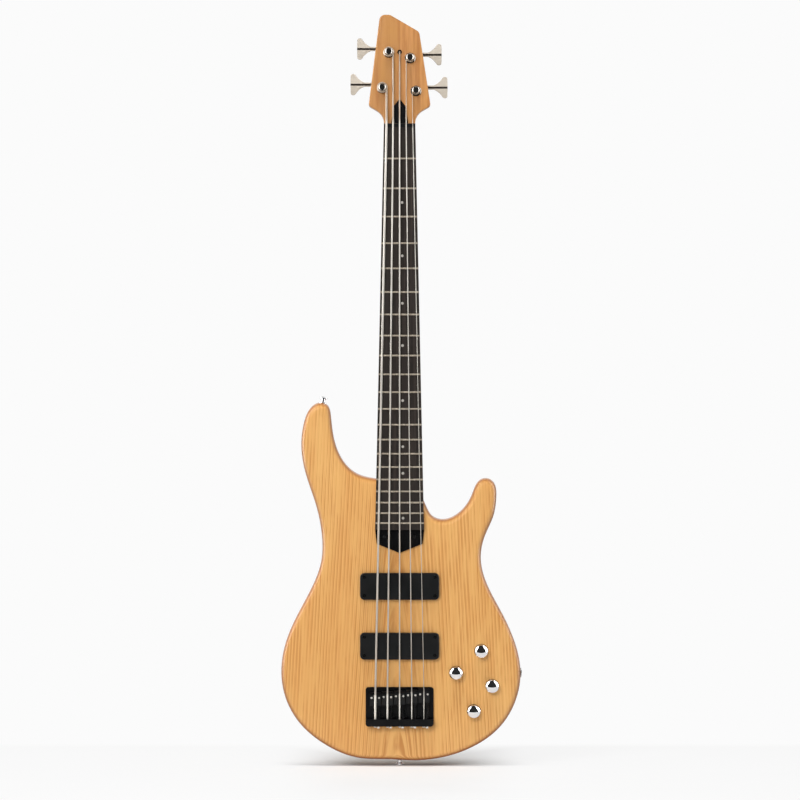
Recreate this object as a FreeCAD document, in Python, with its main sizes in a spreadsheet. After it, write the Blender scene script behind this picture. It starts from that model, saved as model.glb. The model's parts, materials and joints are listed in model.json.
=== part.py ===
import FreeCAD, Part
import math
import os
import re
import Sketcher
from FreeCAD import Placement, Rotation, Vector

# Five-string electric bass guitar, upright, seen from the front along +Y
# X runs across the strings, Z up along the neck, and the origin is the end of the lower strap button

doc = FreeCAD.newDocument("bass_guitar")
sizes = doc.addObject("Spreadsheet::Sheet", "sizes")

# Driving dimensions in millimetres, with angles in degrees and shares without a unit
driving_dimensions = {
    "scale_length": 863.6,
    "bridge_setback": 106.4,
    "overrun": 2.0,
    "fit_gap": 0.05,
    "running_gap": 0.08,
    "clear_gap": 0.4,
    "body_length": 547.0,
    "body_width": 366.0,
    "body_thickness": 40.0,
    "body_round_over": 9.0,
    "neck_rise": 3.0,
    "board_overhang": 10.55,
    "board_nut_width": 48.0,
    "board_end_width": 75.0,
    "board_thickness": 6.0,
    "board_radius": 400.0,
    "fret_crown_width": 2.6,
    "fret_crown_height": 1.2,
    "fret_tang_width": 0.6,
    "fret_tang_depth": 1.8,
    "fret_end_inset": 0.5,
    "dot_radius": 2.1,
    "dot_depth": 1.5,
    "nut_thickness": 5.0,
    "nut_rise": 2.4,
    "nut_string_rise": 0.5,
    "saddle_string_rise": 3.6,
    "nut_spacing": 10.0,
    "bridge_spacing": 18.6,
    "neck_depth_at_nut": 15.0,
    "neck_depth_at_heel": 18.5,
    "neck_side_height": 3.0,
    "heel_depth": 19.0,
    "heel_length": 84.0,
    "heel_blend": 45.0,
    "heel_corner_radius": 8.0,
    "headstock_angle": 10.0,
    "headstock_thickness": 14.0,
    "headstock_length": 168.0,
    "headstock_width": 95.0,
    "headstock_flare_radius": 22.0,
    "headstock_corner_radius": 6.0,
    "headstock_tip_radius": 9.0,
    "headstock_edge_radius": 1.5,
    "volute_length": 52.0,
    "volute_width": 30.0,
    "truss_rod_radius": 3.0,
    "truss_rod_depth": 5.0,
    "truss_rod_end": 25.0,
    "truss_access_length": 26.0,
    "truss_nut_radius": 4.0,
    "truss_nut_length": 14.0,
    "truss_cover_base_width": 26.0,
    "truss_cover_shoulder_width": 17.4,
    "truss_cover_side_length": 27.0,
    "truss_cover_length": 38.0,
    "truss_cover_thickness": 2.0,
    "truss_cover_corner_radius": 1.5,
    "heel_cover_side_length": 21.4,
    "heel_cover_length": 35.5,
    "heel_cover_low_width": 70.0,
    "heel_cover_corner_radius": 2.5,
    "heel_cover_screw_spread": 46.0,
    "small_screw_head_radius": 2.4,
    "small_screw_head_height": 1.4,
    "small_screw_radius": 1.2,
    "small_screw_length": 9.0,
    "neck_screw_head_radius": 4.5,
    "neck_screw_head_height": 3.0,
    "neck_screw_radius": 2.5,
    "neck_screw_length": 34.0,
    "neck_ferrule_radius": 7.0,
    "neck_ferrule_depth": 6.0,
    "neck_screw_spread": 44.0,
    "neck_screw_low": 15.0,
    "neck_screw_high_bass": 58.0,
    "neck_screw_high_treble": 38.0,
    "ferrule_flange_radius": 8.2,
    "ferrule_flange_thickness": 1.6,
    "ferrule_sleeve_radius": 6.0,
    "ferrule_length": 9.0,
    "strap_button_height": 10.0,
    "strap_cap_radius": 6.0,
    "strap_cap_thickness": 2.4,
    "strap_stem_radius": 2.8,
    "strap_base_radius": 5.4,
    "strap_base_thickness": 1.8,
    "strap_seat_depth": 0.8,
    "wood_screw_radius": 2.0,
    "wood_screw_head_radius": 3.6,
    "wood_screw_head_height": 2.2,
    "wood_screw_length": 26.0,
    "pickup_length": 120.6,
    "pickup_width": 40.8,
    "pickup_corner_radius": 6.5,
    "pickup_edge_radius": 1.2,
    "pickup_rise": 8.0,
    "pickup_sunk": 12.0,
    "pickup_wall": 2.2,
    "pickup_foam_thickness": 4.0,
    "pickup_screw_inset": 6.2,
    "pickup_screw_length": 30.0,
    "pickup_post_radius": 4.6,
    "neck_pickup_setback": 86.9,
    "bridge_pickup_distance": 67.6,
    "coil_width": 14.5,
    "coil_flange_thickness": 1.5,
    "coil_flange_lip": 1.2,
    "bridge_width": 104.0,
    "bridge_length": 60.0,
    "bridge_thickness": 3.0,
    "bridge_front": 5.0,
    "bridge_corner_radius": 4.5,
    "bridge_wall_depth": 11.0,
    "bridge_wall_height": 11.0,
    "saddle_width": 17.2,
    "saddle_length": 21.0,
    "saddle_foot": 2.0,
    "saddle_crest_inset": 3.5,
    "saddle_tail_drop": 3.4,
    "saddle_groove": 0.6,
    "saddle_crest_width": 2.4,
    "saddle_nose_drop": 2.2,
    "height_screw_radius": 1.5,
    "height_screw_spread": 11.4,
    "height_screw_inset": 4.5,
    "height_screw_proud": 0.9,
    "intonation_screw_radius": 1.25,
    "intonation_screw_height": 5.6,
    "intonation_screw_offset": 4.8,
    "intonation_screw_grip": 5.5,
    "intonation_bore_depth": 11.0,
    "intonation_head_radius": 2.15,
    "intonation_head_height": 2.4,
    "spring_radius": 2.5,
    "spring_wire_radius": 0.4,
    "compensation_least": 1.0,
    "compensation_step": 1.4,
    "string_b_gauge": 3.18,
    "string_e_gauge": 2.54,
    "string_a_gauge": 2.03,
    "string_d_gauge": 1.52,
    "string_g_gauge": 1.02,
    "string_tail_height": 6.4,
    "ball_radius": 2.35,
    "ball_length": 4.6,
    "ball_proud": 1.6,
    "knob_radius": 10.3,
    "knob_height": 15.5,
    "knob_dome_height": 5.5,
    "knob_edge_radius": 1.0,
    "knob_gap": 0.6,
    "pot_radius": 12.0,
    "pot_body_height": 10.0,
    "pot_thread_radius": 4.0,
    "pot_shaft_radius": 3.0,
    "nut_hex_radius": 6.4,
    "nut_hex_height": 2.2,
    "jack_hex_radius": 7.4,
    "thread_proud": 0.6,
    "top_wall": 7.0,
    "cover_thickness": 2.5,
    "cover_lip": 7.0,
    "cover_corner_radius": 14.0,
    "jack_plug_radius": 3.25,
    "jack_radius": 6.0,
    "jack_thread_radius": 4.8,
    "jack_length": 38.0,
    "jack_seat_radius": 8.0,
    "jack_seat_depth": 1.0,
    "lead_channel_radius": 3.5,
    "post_radius": 4.0,
    "post_shoulder_radius": 5.4,
    "post_waist_radius": 4.6,
    "post_cap_radius": 5.7,
    "post_shoulder_height": 2.0,
    "post_waist_height": 4.2,
    "post_cap_height": 13.8,
    "post_height": 16.6,
    "post_cap_rounding": 2.3,
    "post_slot_width": 2.4,
    "post_slot_depth": 7.0,
    "gear_module": 0.5,
    "gear_thickness": 4.6,
    "gear_gap": 1.8,
    "gear_seat_radius": 2.8,
    "rivet_radius": 3.6,
    "rivet_height": 0.9,
    "worm_pitch_radius": 3.0,
    "worm_length": 11.0,
    "tooth_backlash": 0.15,
    "tooth_flank_angle": 20.0,
    "worm_journal_radius": 2.0,
    "worm_sleeve_radius": 2.7,
    "lug_thickness": 2.2,
    "lug_width": 6.0,
    "lug_play": 0.2,
    "lug_rim": 2.0,
    "plate_thickness": 1.4,
    "plate_width": 24.0,
    "plate_height": 30.0,
    "plate_rise": 2.0,
    "plate_screw_inset": 3.0,
    "plate_corner_radius": 4.0,
    "key_inner": 24.4,
    "key_length": 24.1,
    "key_half_height": 16.4,
    "key_neck_radius": 3.3,
    "key_thickness": 6.0,
    "key_edge_thickness": 2.6,
    "key_collar_length": 6.5,
    "key_spigot_radius": 1.6,
    "key_spigot_length": 8.0,
    "clamp_radius": 3.6,
    "clamp_flange_thickness": 1.2,
    "clamp_sleeve_radius": 2.8,
    "clamp_depth": 9.0,
    "clamp_distance": 110.0,
    "clamp_bend_radius": 3.2,
    "level_run": 12.0,
}

# Lengths and levels that follow from the driving ones; Y levels are negative towards the front
derived_dimensions = {
    "front_level": "-body_thickness / 2",
    "back_level": "body_thickness / 2",
    "glue_level": "front_level - neck_rise",
    "board_level": "glue_level - board_thickness",
    "pocket_level": "glue_level + heel_depth",
    "saddle_line": "strap_button_height + bridge_setback",
    "nut_line": "saddle_line + scale_length",
    "last_fret_line": "nut_line - scale_length * (1 - 2 ^ (-fret_count / 12))",
    "board_end_line": "last_fret_line - board_overhang",
    "board_length": "nut_line - board_end_line",
    "heel_top_line": "board_end_line + heel_length",
    "blend_line": "heel_top_line + heel_blend",
    "headstock_line": "nut_line + nut_thickness",
    "bridge_top_line": "saddle_line + bridge_front",
    "bridge_low_line": "bridge_top_line - bridge_length",
    "bridge_level": "front_level - bridge_thickness",
    "wall_line": "bridge_low_line + bridge_wall_depth",
    "string_floor_level": "board_level - fret_crown_height",
    "nut_string_level": "string_floor_level - nut_string_rise",
    "saddle_string_level": "string_floor_level - saddle_string_rise",
    "tail_level": "bridge_level - string_tail_height",
    "intonation_level": "bridge_level - intonation_screw_height",
    "gear_level": "headstock_thickness + plate_thickness + gear_gap",
    "worm_level": "gear_level + gear_thickness / 2",
    "centre_distance": "gear_module * gear_teeth / 2 + worm_pitch_radius",
    "neck_pickup_line": "board_end_line - neck_pickup_setback",
    "bridge_pickup_line": "saddle_line + bridge_pickup_distance",
    "pickup_top_level": "front_level - pickup_rise",
    "pickup_floor_level": "front_level + pickup_sunk",
    "cavity_level": "front_level + top_wall",
    "body_low_line": "strap_button_height - strap_seat_depth",
    "body_top_line": "body_low_line + body_length",
    "jack_line": "body_low_line + jack_height_share * body_length",
    "rim_reach": "rim_share * body_width",
    "jack_seat": "rim_reach - jack_seat_depth",
    "truss_level": "glue_level + truss_rod_depth",
    "heel_screw_line": "board_end_line - heel_cover_side_length / 2",
}

# Counts and shares that the sizes above are combined with
counts_and_shares = {
    "fret_count": 21,
    "gear_teeth": 20,
    "jack_height_share": 0.243,
    "rim_share": 0.506,
}

# Outline of the body, as shares of its width from the centre line and of its length from its lower end
body_outline_shares = [
    (0.0, 0.0), (0.16, 0.004), (0.30, 0.034), (0.42, 0.092), (0.488, 0.170), (0.506, 0.243),
    (0.485, 0.322), (0.425, 0.414), (0.362, 0.497), (0.3395, 0.568), (0.357, 0.628), (0.392, 0.683),
    (0.4045, 0.735), (0.3957, 0.774), (0.380, 0.7845), (0.359, 0.788), (0.338, 0.784), (0.3224, 0.7735),
    (0.302, 0.742), (0.276, 0.711),
    (0.232, 0.684), (0.183, 0.673), (0.136, 0.683), (0.110, 0.712), (0.078, 0.748), (0.0, 0.775),
    (-0.10, 0.787), (-0.175, 0.800), (-0.235, 0.836), (-0.272, 0.893), (-0.287, 0.962), (-0.302, 0.993),
    (-0.330, 1.0), (-0.368, 0.988), (-0.399, 0.947), (-0.411, 0.880), (-0.393, 0.803), (-0.350, 0.715),
    (-0.325, 0.630), (-0.328, 0.555), (-0.360, 0.492), (-0.425, 0.408), (-0.480, 0.319), (-0.495, 0.246),
    (-0.479, 0.177), (-0.420, 0.104), (-0.320, 0.046), (-0.17, 0.005),
]

# Headstock corners above the flare, as shares of its width and length
headstock_corner_shares = [(0.317, 0.842), (-0.157, 1.0), (-0.317, 1.0)]
headstock_shoulder_share = 0.163
headstock_flare_share = 0.083

# Knob centres and control cavity corners, as shares of the body's width and length
knob_place_shares = [(0.3415, 0.3057), (0.236, 0.2444), (0.387, 0.2075), (0.310, 0.137)]
cavity_corner_shares = [
    (0.185, 0.345), (0.40, 0.345), (0.432, 0.30), (0.425, 0.17),
    (0.36, 0.098), (0.25, 0.098), (0.185, 0.16),
]

# Tuner places, as shares of the headstock's width and length, bass side first and lower one first
tuner_place_shares = [(-0.280, 0.324), (-0.174, 0.652), (0.262, 0.297), (0.167, 0.599)]
tuner_strings = ["b", "e", "g", "d"]
string_letters = ["b", "e", "a", "d", "g"]
dotted_frets = [3, 5, 7, 9, 12, 15, 17, 21]
horn_button_shares = (-0.322, 1.0)
key_flare_shares = [(0.40, 0.42), (0.68, 0.90)]
key_corner_shares = [(0.82, 1.0), (0.985, 0.86)]
dot_offset_share = 0.33
wrap_count = 3
spring_turns = 9
body_stretches = 8
coil_end_share = 0.98
worm_turns = 5
root_share = 1.2
bevel_share = 0.6

ALONG_X = Rotation(Vector(0, 1, 0), 90)
TO_FRONT = Rotation(Vector(1, 0, 0), 90)
TO_BACK = Rotation(Vector(1, 0, 0), -90)
UPRIGHT = Rotation()
PICKUP_LINES = ("neck_pickup_line", "bridge_pickup_line")
nodes = {}


def fill_sheet():
    for row, (alias, value) in enumerate({**driving_dimensions, **counts_and_shares}.items(), start=1):
        sizes.set(f"A{row}", alias)
        sizes.set(f"B{row}", str(value))
        sizes.setAlias(f"B{row}", alias)
    doc.recompute()


def cells(expression):
    """An expression in the names above, as one in the sheet's cells."""

    def expand(match):
        word = match[0]
        if word in derived_dimensions:
            return f"({cells(derived_dimensions[word])})"
        if word in driving_dimensions or word in counts_and_shares:
            return f"sizes.{word}"
        return word

    return re.sub(r"[a-z][a-z0-9_]*", expand, str(expression))


def mm(expression):
    """The value of an expression, as a number."""
    return float(sizes.evalExpression(cells(expression)))


def bind(item, **expressions):
    """Binds properties to expressions, with a double underscore for each dot of the property's path."""
    for name, expression in expressions.items():
        item.setExpression(name.replace("__", "."), cells(expression))
    return item


def put(item, x=0, y=0, z=0, turn=UPRIGHT):
    item.Placement = Placement(Vector(), turn)
    return bind(item, Placement__Base__x=x, Placement__Base__y=y, Placement__Base__z=z)


def node(label, item):
    """Names a finished sub-part."""
    item.Label = label
    nodes[label] = item
    return item


def feature(name, shape):
    item = doc.addObject("Part::Feature", name)
    item.Shape = shape
    return item


def cylinder(name, radius, height, x=0, y=0, z=0, turn=UPRIGHT):
    item = doc.addObject("Part::Cylinder", name)
    bind(item, Radius=radius, Height=height)
    return put(item, x, y, z, turn)


def block(name, length, width, height, x=0, y=0, z=0):
    """A box that is centred on x, and starts at y and z."""
    item = doc.addObject("Part::Box", name)
    bind(item, Length=length, Width=width, Height=height)
    return put(item, f"{x} - ({length}) / 2", y, z)


def fused(name, pieces):
    item = doc.addObject("Part::MultiFuse", name)
    item.Shapes = pieces
    item.Refine = True
    return item


def shared(name, first, second):
    item = doc.addObject("Part::Common", name)
    item.Base = first
    item.Tool = second
    return item


def cut(name, base, tools):
    item = doc.addObject("Part::Cut", name)
    item.Base = base
    item.Tool = tools[0] if len(tools) == 1 else fused(name + "_tools", tools)
    return item


def rounded(name, base, radius, chosen):
    """Rounds the edges of a Part object that chosen picks."""
    doc.recompute()
    item = doc.addObject("Part::Fillet", name)
    item.Base = base
    edges = base.Shape.Edges
    item.Edges = [(index + 1, mm(radius), mm(radius)) for index, edge in enumerate(edges) if chosen(edge)]
    return item


def group(label, prototype, places):
    """Separate copies of a prototype's shape at the given placements, as one node."""
    doc.recompute()
    copies = []
    for place in places:
        copy = prototype.Shape.copy()
        copy.Placement = place.multiply(prototype.Shape.Placement)
        copies.append(copy)
    return node(label, feature(label + "_group", Part.makeCompound(copies)))


def sketch_in(body, name, plane, offset=0):
    sketch = body.newObject("Sketcher::SketchObject", name)
    support = next(item for item in body.Origin.OriginFeatures if item.Role == plane)
    sketch.AttachmentSupport = [(support, "")]
    sketch.MapMode = "FlatFace"
    return bind(sketch, AttachmentOffset__Base__z=offset)


def pin_point(sketch, line, end, across, up):
    """Holds one end of a sketch line at two expressions."""
    places = (("DistanceX", across, -2), ("DistanceY", up, -1))
    for kind, expression, axis in places:
        if str(expression) == "0":
            sketch.addConstraint(Sketcher.Constraint("PointOnObject", line, end, axis))
        else:
            value = mm(expression)
            index = sketch.addConstraint(Sketcher.Constraint(kind, -1, 1, line, end, value))
            sketch.setExpression(f"Constraints[{index}]", cells(expression))


def polygon(sketch, corners):
    """A closed outline of straight lines whose corners are pairs of expressions."""
    points = [Vector(mm(across), mm(up), 0) for across, up in corners]
    lines = [Part.LineSegment(points[index - 1], points[index]) for index in range(len(points))]
    sketch.addGeometry(lines, False)
    for index, (across, up) in enumerate(corners):
        pin_point(sketch, index, 2, across, up)
        following = (index + 1) % len(corners)
        sketch.addConstraint(Sketcher.Constraint("Coincident", index, 2, following, 1))


def turned(name, profile):
    """A body turned about Z from a half outline of (radius, height) expressions that starts on the axis."""
    body = doc.addObject("PartDesign::Body", name)
    sketch = sketch_in(body, name + "_profile", "XZ_Plane")
    polygon(sketch, profile)
    feature_turned = body.newObject("PartDesign::Revolution", name + "_turned")
    feature_turned.Profile = sketch
    feature_turned.ReferenceAxis = (sketch, ["V_Axis"])
    feature_turned.Angle = 360
    body.Tip = feature_turned
    return body


def padded(name, edges, back, thickness, plane="XZ_Plane"):
    """A plate with the given outline in X and Z, from the level back towards the front."""
    body = doc.addObject("PartDesign::Body", name)
    sketch = sketch_in(body, name + "_outline", plane, f"-({back})" if plane == "XZ_Plane" else back)
    sketch.addGeometry(edges, False)
    pad = body.newObject("PartDesign::Pad", name + "_pad")
    pad.Profile = sketch
    bind(pad, Length=thickness)
    body.Tip = pad
    return body


def softened(body, radius, chosen):
    """Rounds the edges of a PartDesign body that chosen picks."""
    doc.recompute()
    base = body.Tip
    picked = [f"Edge{index + 1}" for index, edge in enumerate(base.Shape.Edges) if chosen(edge)]
    fillet = body.newObject("PartDesign::Fillet", body.Name + "_softened")
    fillet.Base = (base, picked)
    bind(fillet, Radius=radius)
    body.Tip = fillet
    return body


def rounded_outline(corners):
    """Lines and arcs round a closed outline of (across, up, radius) corners, in numbers."""
    turns = []
    for index, (across, up, radius) in enumerate(corners):
        here = Vector(across, up, 0)
        before = (Vector(*corners[index - 1][:2], 0) - here).normalize()
        after = (Vector(*corners[(index + 1) % len(corners)][:2], 0) - here).normalize()
        half = before.getAngle(after) / 2
        inward = (before + after).normalize()
        reach = radius / math.tan(half)
        middle = here + inward * (radius / math.sin(half) - radius)
        turns.append((here + before * reach, middle, here + after * reach))
    edges = []
    for index, (start, middle, finish) in enumerate(turns):
        if corners[index][2]:
            edges.append(Part.Arc(start, middle, finish))
        edges.append(Part.LineSegment(finish, turns[(index + 1) % len(turns)][0]))
    return edges


def rounded_rectangle(length, height, radius, up=0.0):
    half = length / 2
    rise = height / 2
    corners = ((-half, -rise), (half, -rise), (half, rise), (-half, rise))
    return rounded_outline([(across, up + offset, radius) for across, offset in corners])


def at(x, y, z, turn=UPRIGHT):
    return Placement(Vector(x, y, z), turn)


def on_headstock(across=0.0, back=0.0, up=0.0, turn=UPRIGHT):
    """The placement of a point of the tilted headstock: across, back from its face, and up from the nut."""
    tilt = Rotation(Vector(1, 0, 0), -mm("headstock_angle"))
    hinge = Placement(Vector(0, mm("glue_level"), mm("headstock_line")), tilt)
    return hinge.multiply(Placement(Vector(across, back, up), turn))


def board_width(line):
    """The fingerboard's width at a height, as an expression."""
    taper = f"(board_end_width - board_nut_width) / board_length * (nut_line - ({line}))"
    return f"(board_nut_width + {taper})"


def fret_line(number):
    return f"(nut_line - scale_length * (1 - 2 ^ (-{number} / 12)))"


def crown_drop(across):
    """How far a surface with the fingerboard's radius falls away at a distance from the middle."""
    radius = mm("board_radius")
    return radius - math.sqrt(radius ** 2 - across ** 2)


def tuner_place(index):
    across_share, up_share = tuner_place_shares[index]
    return across_share * mm("headstock_width"), up_share * mm("headstock_length")


def body_place(across_share, up_share):
    across = across_share * mm("body_width")
    return across, mm("body_low_line") + up_share * mm("body_length")


def saddle_crest(rank):
    return f"(saddle_line - compensation_least - {2 - rank} * compensation_step)"


fill_sheet()


# Fasteners


def make_screw(name, sort, length):
    """A dome-headed screw along Z, seated at zero with its shank going down."""
    radius = f"{sort}_radius"
    head_radius = f"{sort}_head_radius"
    head_height = f"{sort}_head_height"
    return turned(name, [
        (0, f"-({length})"),
        (f"{radius} * {bevel_share}", f"-({length})"),
        (radius, f"-({length}) + {radius}"),
        (radius, 0),
        (head_radius, 0),
        (head_radius, f"{head_height} * {bevel_share}"),
        (f"{head_radius} * {bevel_share}", head_height),
        (0, head_height),
    ])


small_screw = make_screw("small_screw", "small_screw", "small_screw_length")
wood_screw = make_screw("wood_screw", "wood_screw", "wood_screw_length")
neck_screw = make_screw("neck_screw", "neck_screw", "neck_screw_length")
pickup_screw = make_screw("pickup_screw", "small_screw", "pickup_screw_length")
doc.recompute()


# Strings


def rank_of(letter):
    """The place of a string counted from the middle one, negative on the bass side."""
    return string_letters.index(letter) - 2


def string_under(across, level):
    """The level of a string's underside over the crowned fingerboard."""
    return mm(level) + crown_drop(across)


def string_path(letter):
    """The edges that a string follows from its ball to its first turn round the post, or into the clamp."""
    rank = rank_of(letter)
    half = mm(f"string_{letter}_gauge") / 2
    at_bridge = rank * mm("bridge_spacing")
    at_nut = rank * mm("nut_spacing")
    nut_middle = mm("nut_line + nut_thickness / 2")
    tail = Vector(at_bridge, mm("tail_level"), mm("bridge_low_line - ball_proud"))
    wall = Vector(at_bridge, mm("tail_level"), mm("wall_line + clear_gap"))
    crest = Vector(at_bridge, string_under(at_bridge, "saddle_string_level") - half, mm(saddle_crest(rank)))
    nut = Vector(at_nut, string_under(at_nut, "nut_string_level") - half, nut_middle)
    head = first_turn(letter, nut, half) if letter in tuner_strings else clamp_bend()
    start = head[0].firstVertex().Point
    ahead = head[0].tangentAt(head[0].FirstParameter)
    level = start - ahead * mm("level_run")
    bends = [tail, wall, crest, nut, level, start]
    return [Part.makeLine(first, second) for first, second in zip(bends, bends[1:])] + head


def first_turn(letter, nut, half):
    """Most of one turn round the post, which starts where a line from the nut meets the inner side."""
    across, up = tuner_place(tuner_strings.index(letter))
    winding = mm("post_waist_radius + clear_gap") + half
    start = on_headstock().inverse().multVec(nut)
    reach = Vector(across - start.x, up - start.z, 0)
    inner_side = 1 if across < 0 else -1
    lean = inner_side * math.degrees(math.asin(winding / reach.Length))
    heading = Rotation(Vector(0, 0, 1), -lean).multVec(reach).normalize()
    outward = Vector(inner_side * heading.y, -inner_side * heading.x, 0)
    height = wrap_height(half, 0)
    turns = [Rotation(Vector(0, 0, 1), inner_side * angle).multVec(outward) for angle in (0, 150, 300)]
    points = [on_headstock(across + way.x * winding, -height, up + way.y * winding).Base for way in turns]
    return [Part.Arc(*points).toShape()]


def clamp_bend():
    """The quarter turn of the middle string, and its end inside the clamp."""
    bend = mm("clamp_bend_radius")
    height = mm("clamp_flange_thickness + clamp_bend_radius")
    distance = mm("clamp_distance")
    slant = bend * math.sqrt(0.5)
    over = on_headstock(0, -height, distance - bend).Base
    middle = on_headstock(0, bend - height - slant, distance - bend + slant).Base
    down = on_headstock(0, bend - height, distance).Base
    end = on_headstock(0, mm("clamp_depth"), distance).Base
    return [Part.Arc(over, middle, down).toShape(), Part.makeLine(down, end)]


def wrap_height(half, turn):
    """The height of a turn above the headstock's face."""
    return mm("post_waist_height + clear_gap") + half + turn * (2 * half + mm("fit_gap"))


def string_run(letter, growth=0.0):
    """The string's path as a tube, wider than the string by growth all round."""
    edges = string_path(letter)
    radius = mm(f"string_{letter}_gauge") / 2 + growth
    start = edges[0].firstVertex().Point
    section = Part.Wire(Part.makeCircle(radius, start, Vector(0, 0, 1)))
    return Part.Wire(edges).makePipeShell([section], True, False, 1)


def later_turns(letter):
    """The turns above the first one, each a closed ring."""
    across, up = tuner_place(tuner_strings.index(letter))
    half = mm(f"string_{letter}_gauge") / 2
    rings = []
    for turn in range(1, wrap_count):
        height = wrap_height(half, turn)
        if height + half < mm("post_cap_height"):
            ring = Part.makeTorus(mm("post_waist_radius + clear_gap") + half, half)
            ring.Placement = on_headstock(across, -height, up, TO_FRONT)
            rings.append(ring)
    return rings


def make_string(letter):
    across = rank_of(letter) * mm("bridge_spacing")
    foot = Vector(across, mm("tail_level"), mm("bridge_low_line - ball_proud"))
    ball = Part.makeCylinder(mm("ball_radius"), mm("ball_length"), foot, Vector(0, 0, 1))
    shape = string_run(letter).fuse(ball).removeSplitter()
    if letter in tuner_strings:
        shape = Part.makeCompound([shape] + later_turns(letter))
    return node(f"string_{letter}", feature(f"string_{letter}_strung", shape))


for string_letter in string_letters:
    make_string(string_letter)


# Body


def body_curve():
    points = []
    for across_share, up_share in body_outline_shares:
        across, up = body_place(across_share, up_share)
        points.append(Vector(across, 0, up))
    curve = Part.BSplineCurve()
    curve.interpolate(points, PeriodicFlag=True)
    return curve


def body_blank():
    curve = body_curve()
    start, length = curve.FirstParameter, curve.LastParameter - curve.FirstParameter
    stops = [start + length * step / body_stretches for step in range(body_stretches + 1)]
    stretches = [curve.toShape(first, last) for first, last in zip(stops, stops[1:])]
    outline = feature("body_outline", Part.Face(Part.Wire(stretches)))
    blank = doc.addObject("Part::Extrusion", "body_blank")
    blank.Base = outline
    blank.DirMode = "Custom"
    blank.Dir = Vector(0, 1, 0)
    blank.Solid = True
    blank.Symmetric = True
    bind(blank, LengthFwd="body_thickness")
    flat = mm("fit_gap")
    return rounded("body_rounded", blank, "body_round_over", lambda edge: edge.BoundBox.YLength < flat)


def grown(corners, distance):
    """A convex outline of (across, up, radius) corners moved outwards by a distance."""
    moved = []
    for index, (across, up, radius) in enumerate(corners):
        here = Vector(across, up, 0)
        before = (Vector(*corners[index - 1][:2], 0) - here).normalize()
        after = (Vector(*corners[(index + 1) % len(corners)][:2], 0) - here).normalize()
        half = before.getAngle(after) / 2
        corner = here - (before + after).normalize() * (distance / math.sin(half))
        moved.append((corner.x, corner.y, radius + distance))
    return moved


def cavity_corners(growth):
    radius = mm("cover_corner_radius")
    corners = [(*body_place(*shares), radius) for shares in cavity_corner_shares]
    return grown(corners, growth)


def cover_screw_places():
    corners = cavity_corners(mm("cover_lip") / 2)
    places = []
    for index, corner in enumerate(corners):
        following = corners[(index + 1) % len(corners)]
        places.append(((corner[0] + following[0]) / 2, (corner[1] + following[1]) / 2))
    return places


def heel_outline(growth, top):
    end = mm("board_end_width") / 2 + growth
    low = mm("board_end_line") - growth
    high = mm(board_width(top)) / 2 + growth
    radius = mm("heel_corner_radius")
    corners = [(-end, low, radius), (end, low, radius), (high, mm(top), 0), (-high, mm(top), 0)]
    return rounded_outline(corners)


def neck_screw_places():
    side = mm("neck_screw_spread") / 2
    heights = [("neck_screw_low", -side), ("neck_screw_low", side)]
    heights += [("neck_screw_high_bass", -side), ("neck_screw_high_treble", side)]
    return [(across, mm(f"board_end_line + {height}")) for height, across in heights]


def pickup_screw_places(*lines):
    """Places of the four screws of each pickup that sits on one of these lines."""
    side = mm("pickup_length / 2 - pickup_screw_inset")
    rise = mm("pickup_width / 2 - pickup_screw_inset")
    return [(across, mm(line) + up) for line in lines for across in (-side, side) for up in (-rise, rise)]


def bridge_screw_places():
    half = mm("bridge_spacing") / 2
    line = mm("wall_line + wood_screw_head_radius + clear_gap")
    return [(step * half, line) for step in (-3, -1, 1, 3)]


def heel_cover_screw_places():
    side = mm("heel_cover_screw_spread") / 2
    return [(-side, mm("heel_screw_line")), (side, mm("heel_screw_line"))]


def holes_along_y(name, places, radius, near, depth):
    """Round holes that start at the level near and go towards the back."""
    shapes = []
    for across, up in places:
        start = Vector(across, mm(near), up)
        shapes.append(Part.makeCylinder(mm(radius), mm(depth), start, Vector(0, 1, 0)))
    return feature(name, Part.makeCompound(shapes))


def knob_places():
    return [body_place(*shares) for shares in knob_place_shares]


def horn_button_place():
    """The seat of the upper strap button: a point of the rim, with Z along the rim's outward normal."""
    curve = body_curve()
    across, up = body_place(*horn_button_shares)
    where = curve.parameter(Vector(across, 0, up))
    along = curve.tangent(where)[0]
    outward = Vector(along.z, 0, -along.x)
    sunk = curve.value(where) - outward * mm("strap_seat_depth")
    return Placement(sunk, Rotation(Vector(0, 0, 1), outward))


def end_button_place():
    return Placement(Vector(0, 0, mm("strap_button_height")), Rotation(Vector(1, 0, 0), 180))


def strap_hole(name, place):
    """Seat and pilot hole of a strap button, along the button's own axis."""
    seat = Part.makeCylinder(mm("strap_base_radius + clear_gap"), mm("strap_button_height"))
    depth = mm("wood_screw_length + fit_gap")
    pilot = Part.makeCylinder(mm("wood_screw_radius + fit_gap"), depth, Vector(0, 0, -depth))
    item = feature(name, seat.fuse(pilot))
    item.Placement = place
    return item


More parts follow.
